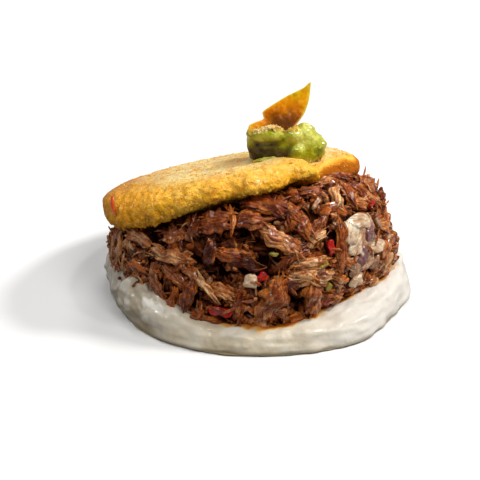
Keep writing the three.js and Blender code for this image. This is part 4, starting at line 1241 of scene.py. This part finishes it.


# A ball of rings pushed out to the dollop's skin, with lumps, swirls and folds, and darker low down, on its
# left and in
# its hollows: painted shade, partly browning.
def buildGuacamole(material):
    rings, count, step = 130, 260, 8
    slope, turn, middle = slopes(rings)[:, None], angles(count), np.array(guacamole["middle"])
    direction = closed(np.stack([np.cos(slope) * np.cos(turn), np.cos(slope) * np.sin(turn),
                                 np.sin(slope) + 0 * turn], -1))
    low, high = halved(lambda reach: inDollop(middle + direction * reach[:, None]),
                       np.zeros(len(direction)), np.full(len(direction), 30.0), 26)
    reach = (low + high) / 2
    spots = middle + direction * reach[:, None]
    lumps = 0.3 * rough(spots, 4.4, 2, 110) + 0.06 * pebbles(spots, 1.6, 12)
    lumps = lumps + 0.3 * wander(turned(spots, (0, 1, 0), 30) * (1.5, 0.5, 0.4), 2.4, 115)
    lumps = lumps + 0.8 * (0.25 - np.abs(wander(turned(spots, (0, 1, 0), -25) * (1, 0.7, 0.5), 3.4, 116)))
    # the gap is how far the skin lies inside the mean of its neighbours
    grid = (reach + lumps)[:-2].reshape(rings, count)
    tall = np.pad(grid, ((step, step), (0, 0)), "edge")
    near = (np.roll(grid, step, 1) + np.roll(grid, -step, 1) + tall[:-2 * step] + tall[2 * step:]) / 4
    gap = np.concatenate([(near - grid).ravel(), [0, 0]])
    spots = spots + direction * (lumps + 0.55 * np.maximum(gap, 0))[:, None]
    # painted shade, partly browning: darker low down, on the left side and in the hollows
    leftSide = smooth(-spots[:, 0], -5, 5)
    deep = smooth(spots[:, 2], 10, 4) * mix(0.35, 1.0, leftSide) + leftSide * 0.35
    deep = np.clip(deep + 0.3 * wander(spots, 4, 117) + 0.5 * np.clip(gap * 0.5, 0, 0.6), 0, 1.2)
    addPiece(makeMesh("guacamoleDollop", dollopPlace(spots), shellFaces(rings, count), {"deep": deep}),
             material, "guacamole", "guacamole")


# Guacamole: from pale green to nearly brown by its painted shade, which is partly browning, and noise, wet
# all over.
def guacamoleMaterial():
    made = look("guacamole", Roughness=0.25, Coat_Roughness=0.05, IOR=1.4, Specular_IOR_Level=0.35)
    tone = maths("ADD", made.value("deep") * 0.8, (made.place.noise(220.0, 4.0) - 0.5) * 0.7, True)
    made.ramp(tone, (0.05, 200, 198, 84), (0.3, 158, 160, 14), (0.55, 102, 98, 0), (0.85, 54, 40, 0))
    film, roughness, ripple = made.wet(260.0, 0.3, 0.14)
    return made.finish(roughness, film, (made.place.noise(500.0) + ripple, 0.6, 0.0009))


chip = {
    "thickness": 1.3,
    "place": (7.6, -5, 69),
    "pitch": 72,             # degrees that it stands up
    "roll": 35,              # degrees that it is turned before that
    "middle": (-1.0, -1.2),
    "outline": [(13.4, 2.2), (10.2, 2.1), (3.9, 3), (-5.2, 3.4), (-6.8, 1.2), (-11.8, 2.3),
                (-13.6, -0.6), (-8, -5), (-0.7, -7), (5.3, -5.4), (9.6, -2.4)],
}


# The chip's outline as a closed smooth curve, then rings from its middle out to the rim and back.
def buildChip(material):
    rings, count = 60, 240
    knots, middle = np.array(chip["outline"], float), np.array(chip["middle"])
    place = np.arange(count) / count * len(knots)
    i = np.floor(place).astype(int)
    a, b, c, d = (knots[(i + k) % len(knots)] for k in (-1, 0, 1, 2))
    rim = hermite((place - i)[:, None], b, c, (c - a) * 0.35, (d - b) * 0.35)
    slope = slopes(rings)[:, None]
    reach = np.cos(slope) ** 0.9
    thick = signedPower(np.sin(slope), 0.35) * chip["thickness"] / 2
    outline = middle + reach[..., None] * (rim - middle)[None]
    height = thick * (1 - 0.5 * reach ** 6) + 0 * outline[..., 0]
    spots = closed(np.concatenate([outline, height[..., None]], -1))
    x, y, side = spots[:, 0], spots[:, 1], np.sign(spots[:, 2])
    flat = spots * (1, 1, 0)
    blister = smooth(wander(flat, 3.6, 120), 0.1, 0.7) * 0.7 - 0.3 * smooth(wander(flat, 2.4, 121), 0.2, 0.7)
    spots[:, 2] += 0.07 * y ** 2 + 0.012 * x ** 2 + 0.5 * wander(flat, 7, 122) + blister * side * 0.5
    spots[:, 2] += 0.12 * rough(flat, 1.4, 2, 123)
    rimShare = np.concatenate([np.repeat(reach[:-2], count), [0, 0]])
    spots = turned(turned(spots, (0, 0, 1), chip["roll"]), (1, 0, 0), chip["pitch"]) + np.array(chip["place"])
    # one at the rim, for a painted glow of light through the thin edge
    values = {"rim": smooth(rimShare, 0.86, 1.0)}
    addPiece(makeMesh("chip", spots, shellFaces(rings, count), values), material, "chip", "corn_chip")


# Fried chip: golden patches, darker and browner towards its foot as painted shade, a pale rim that is a
# painted glow of light through its thin edge, and dark grain.
def chipMaterial():
    made = look("friedChip", Roughness=0.4, Coat_Roughness=0.15, IOR=1.25, Specular_IOR_Level=0.25,
                Subsurface_Weight=0.9, Subsurface_Scale=0.004, Subsurface_Radius=(1.0, 0.5, 0.08))
    big = made.place.noise(130.0)
    fine, _, dark = made.grain(800.0)
    across, _, level = made.place.split()
    level = (big - 0.5) * 0.008 + level
    # painted shade: a dark patch low on its face
    low = level.band(0.0705, 0.066) * across.band(0.0, 0.006)
    made.ramp(big, (0.36, 240, 152, 8), (0.52, 254, 184, 14), (0.68, 255, 206, 30))
    # painted shade towards the foot and on the low patch
    made.layers((level.band(0.074, 0.067) * 0.7, 222, 134, 8), (low, 104, 56, 4),
                # pale rim: painted glow of light through the thin edge
                (made.value("rim") * 0.7, 255, 206, 96), (dark * 0.35, 178, 84, 10))
    film, roughness, _ = made.wet(300.0, 0.42, 0.28)
    return made.finish(roughness, film * 0.4 * (low * -1.0 + 1.0), (fine + big, 0.35, 0.0005))


toppings = {
    "lidGrains": 620,
    "tornCrumbs": 340,
    "dollopCrumbs": 900,
    "seed": 77,
    "smearPlace": (16.8, -16.3),     # mm from the lid's middle
    "smearReach": (6.6, 2.0),
    "sliverAzimuth": 212.5,
    "sliverHeight": 3.2,
}


# Frame for pieces on any surface, from their places, the way out and a heading in degrees from level.
def wayFrom(origin, outward, heading):
    outward = unit(outward + 0 * origin)
    level = unit(np.cross(np.array([0.02, 0.03, 1.0]) + 0 * outward, outward))
    heading = np.radians(heading)[:, None]
    axis = level * np.cos(heading) + np.cross(outward, level) * np.sin(heading)
    return origin, axis, np.cross(outward, axis), outward


# Crumbs: short craggy shells with few faces, scattered on the lid, hung along its torn edge and heaped in a
# band on the dollop in front of the chip.
def buildCrumbs(material):
    random = np.random.default_rng(toppings["seed"])

    def shells(spots, outward, heading, size, **own):
        length = size * random.uniform(0.9, 1.8, len(size))
        return shredShells("crumbs", wayFrom(spots, outward, heading), length, size, size, 0, random, **own)

    n = toppings["lidGrains"]
    turn, radius = random.uniform(0, tau, n), cake["radius"] * 0.95 * np.sqrt(random.uniform(0, 1, n))
    spots = ontoLid(lidTop(radius * np.cos(turn), radius * np.sin(turn)))
    grains = shells(spots, tilted(np.array([[0, 0, 1.0]])), random.uniform(0, 180, n),
                    random.uniform(0.25, 0.6, n), seed=150)
    n = toppings["tornCrumbs"]
    azimuth = -164 + 102 * random.uniform(0, 1, n) ** 1.4
    slope = random.uniform(0.05, 0.95, n)
    radius = lidOutline(azimuth) * 0.985 * np.cos(slope) ** 0.38
    size = random.uniform(0.4, 1.0, n) * mix(1.9, 1.3, smooth(azimuth, -130, -100))
    height = -cake["halfThickness"] * np.sin(slope) ** 0.6
    outward = circle(np.radians(azimuth))
    spots = ontoLid(shapeLid(outward * radius[:, None] + np.array([0, 0, 1]) * height[:, None]))
    torn = shells(spots, outward, random.uniform(0, 180, n), size, seed=155, rings=6, count=7)
    n = toppings["dollopCrumbs"]
    x = random.uniform(-12.0, 4.6, n)
    y = -4.6 + random.normal(0, 1.1, n) - 0.05 * x - 0.6 * smooth(-x, 5, 8)
    top, _ = halved(lambda z: inDollop(np.stack([x, y, z], -1)), np.full(n, 5.0), np.full(n, 20.0), 20)
    x, y, top = np.stack([x, y, top])[:, top > mix(7.6, 9.5, smooth(x, -10, -7))]
    n = len(x)
    spots = dollopPlace(np.stack([x, y, top + random.uniform(-0.1, 0.5, n)], -1))
    heaped = shells(spots, np.array([[0, -0.4, 1.0]]), random.uniform(0, 180, n), random.uniform(0.3, 0.7, n),
                    seed=160)
    before = np.zeros(sum(run[0].shape[0] * run[0].shape[1] for run in (grains, torn)))
    pale = np.repeat(smooth(x, 1, -2), heaped[0].shape[1])
    values = {"sandAndSheen": pale * 0.8, "lump": 0.5 - 0.5 * pale}
    values = {key: np.concatenate([before, value]) for key, value in values.items()}
    points, faces = joined([run[:2] for run in (grains, torn, heaped)])
    addPiece(makeMesh("cornCrumbs", points, faces, values), material, "cake")


# A thin strip of pepper skin over the lid's left rim, and a smear of guacamole on the lid before the dollop.
def buildSmears(pepperSkin, green):
    out = circle(np.radians(np.array([toppings["sliverAzimuth"]])))
    origin = ontoLid(out * (cake["radius"] + 0.4) + np.array([0, 0, toppings["sliverHeight"]]))
    out, down = tilted(out), tilted(np.array([[0, 0, -1.0]]))
    strip = shredShells("sliver", (origin, down, np.cross(out, down), out), [7.2], 1.7, 0.9, 0.4)
    addPiece(makeMesh("pepperSliver", *strip[:2], {}), pepperSkin, "pepper")
    rings, count = 24, 90
    slope, angle = slopes(rings)[:, None], angles(count)
    reach = np.cos(slope) ** 0.6
    wave = 1 + 0.25 * np.sin(3 * angle + 1) + 0.16 * np.sin(7 * angle) + 0.1 * np.sin(12 * angle + 2)
    (middleX, middleY), (reachX, reachY) = toppings["smearPlace"], toppings["smearReach"]
    spots = lidTop(middleX + reachX * reach * np.cos(angle) * (1 + 0.16 * np.sin(5 * angle)),
                   middleY + reachY * reach * np.sin(angle) * wave)
    spots[..., 2] += 0.2 + 0.9 * np.sin(slope) * (0.7 + 0.3 * wander(spots, 2.5, 175))
    spots = closed(ontoLid(spots))
    values = {"deep": 0.14 + 0.25 * wander(spots, 3, 176)}
    addPiece(makeMesh("guacamoleSmear", spots, shellFaces(rings, count), values), green, "guacamole")


studio = {
    "target": (-0.0065, 0.0, 0.0173),
    "distance": 0.48,
    "elevation": 26.5,
    "lens": 100,
    "roomLight": 0.09,
    "floorSeen": 0.84,       # brightness of the floor as the camera sees it
    "floorBounce": 0.32,     # share of light that it throws back at the food
    # lamps about the food: azimuth and elevation in degrees, distance and size in metres, watts and colour
    "lamps": {
        "keyLight": (0, 46, 0.9, 0.18, 6.1, (1, 0.975, 0.94)),
        "topLight": (-58, 52, 0.9, 0.4, 3.1, (1, 0.985, 0.96)),
        "backLight": (80, 52, 0.9, 0.3, 2.0, (1, 1, 1)),
        "leftLight": (188, 20, 1.0, 0.5, 0.35, (1, 1, 1)),
    },
    # small lamps for glints on what is wet: azimuths and elevations, then the rest of their rows
    "glints": ((-150, 48), (-110, 62), (150, 40), (-20, 70)),
    "glintLamp": (0.9, 0.07, 0.9, (1, 1, 1)),
}


# Stands an object off from a target at an azimuth and an elevation in degrees, and faces it there.
def aim(made, target, azimuth, elevation, distance):
    a, e = math.radians(azimuth), math.radians(elevation)
    way = Vector((math.cos(a) * math.cos(e), math.sin(a) * math.cos(e), math.sin(e)))
    made.location = Vector(target) + way * distance
    made.rotation_mode = "QUATERNION"
    made.rotation_quaternion = way.to_track_quat("Z", "Y")


# A round lamp turned to the food.
def addLight(name, azimuth, elevation, distance, size, watts, colour):
    lamp = bpy.data.lights.new(name, "AREA")
    lamp.shape, lamp.size, lamp.energy, lamp.color = "DISK", size, watts, colour
    aim(addObject(name, lamp), (0, 0, 0.02), azimuth, elevation, distance)


# A pale floor that turns white away from the food, for the camera only, so that its edge never shows.
def buildFloor():
    mesh = bpy.data.meshes.new("floor")
    half = 4.0
    corners = [(-half, -half, 0), (half, -half, 0), (half, half, 0), (-half, half, 0)]
    mesh.from_pydata(corners, [], [(0, 1, 2, 3)])
    floor = addObject("floor", mesh)
    floor.location.z = -0.0002
    made = look("paleFloor")
    tree = made.tree
    seen = put(tree, "ShaderNodeLightPath", "Is Camera Ray")
    level = seen * (studio["floorSeen"] - studio["floorBounce"]) + studio["floorBounce"]
    grey = put(tree, "ShaderNodeCombineColor", "Color", {"Red": level, "Green": level, "Blue": level})
    distance = put(tree, "ShaderNodeVectorMath", "Value", {0: made.place}, operation="LENGTH")
    white = put(tree, "ShaderNodeEmission", "Emission", {"Strength": distance.band(0.16, 0.6) * seen})
    paint = put(tree, "ShaderNodeBsdfDiffuse", "BSDF", {"Color": grey})
    both = put(tree, "ShaderNodeAddShader", 0, {0: paint, 1: white})
    feed(tree.nodes["Material Output"].inputs["Surface"], both)
    tree.nodes.remove(made.shader)
    mesh.materials.append(made.material)


# Camera, lamps, floor, and a room that only the camera sees as white.
def buildStudio():
    camera = addObject("camera", bpy.data.cameras.new("camera"))
    camera.data.lens, camera.data.sensor_width = studio["lens"], 36
    camera.data.clip_start, camera.data.clip_end = 0.01, 20
    aim(camera, studio["target"], -90, studio["elevation"], studio["distance"])
    scene.camera = camera
    for name, row in studio["lamps"].items():
        addLight(name, *row)
    for azimuth, elevation in studio["glints"]:
        addLight("glintLight", azimuth, elevation, *studio["glintLamp"])
    buildFloor()
    world = bpy.data.worlds.new("room")
    world.use_nodes = True
    scene.world = world
    glow = world.node_tree.nodes["Background"]
    glow.inputs["Color"].default_value = (1, 1, 1, 1)
    seen = put(world.node_tree, "ShaderNodeLightPath", "Is Camera Ray")
    feed(glow.inputs["Strength"], seen * (1.0 - studio["roomLight"]) + studio["roomLight"])
    scene.view_settings.view_transform = "Standard"
    scene.view_settings.look = "None"
    scene.view_settings.exposure = 0.0


buildStudio()
print("studio ready")
beefSkin = beefMaterial()
buildCore(beefSkin)
buildBeef(beefSkin)
paleOnion = (0.3, 190, 148, 106), (0.48, 220, 192, 156), (0.7, 242, 226, 202)
tintedOnion = (0.32, 134, 86, 54), (0.5, 182, 136, 98), (0.68, 216, 182, 148)
brownOnion = (0.32, 110, 60, 28), (0.5, 148, 98, 56), (0.68, 180, 134, 86)
addPiece(cutPieces("onionBits"), onionMaterial("whiteOnion", paleOnion), "onion", "onion_petal_1",
         "onion_petal_2", "onion_petal_3", "onion_petal_4", "onion_cube_1", "onion_cube_2")
addPiece(cutPieces("redOnionBits"), onionMaterial("redOnion", paleOnion, True), "red_onion",
         "red_onion_1", "red_onion_2")
addPiece(cutPieces("pepperBits"), pepperMaterial("redPepper", (96, 5, 2), (204, 22, 8)), "pepper",
         "red_pepper_1", "red_pepper_2", "red_pepper_3", "red_pepper_4", "red_pepper_5")
addPiece(cutPieces("oliveBits"), pepperMaterial("olivePepper", (92, 80, 14), (168, 146, 48)), "pepper")
addPiece(cutPieces("softOnionBits"), onionMaterial("softOnion", brownOnion), "onion")
addPiece(cutPieces("onionLayers"), onionMaterial("tintedOnion", tintedOnion), "onion")
print("filling ready")
friedCorn = cakeMaterial()
buildCake(friedCorn)
buildCrumbs(friedCorn)
buildCream(creamMaterial())
avocadoGreen = guacamoleMaterial()
buildGuacamole(avocadoGreen)
buildSmears(pepperMaterial("pepperSkin", (190, 44, 14), (234, 96, 44)), avocadoGreen)
buildChip(chipMaterial())
print("cake, cream and topping ready")
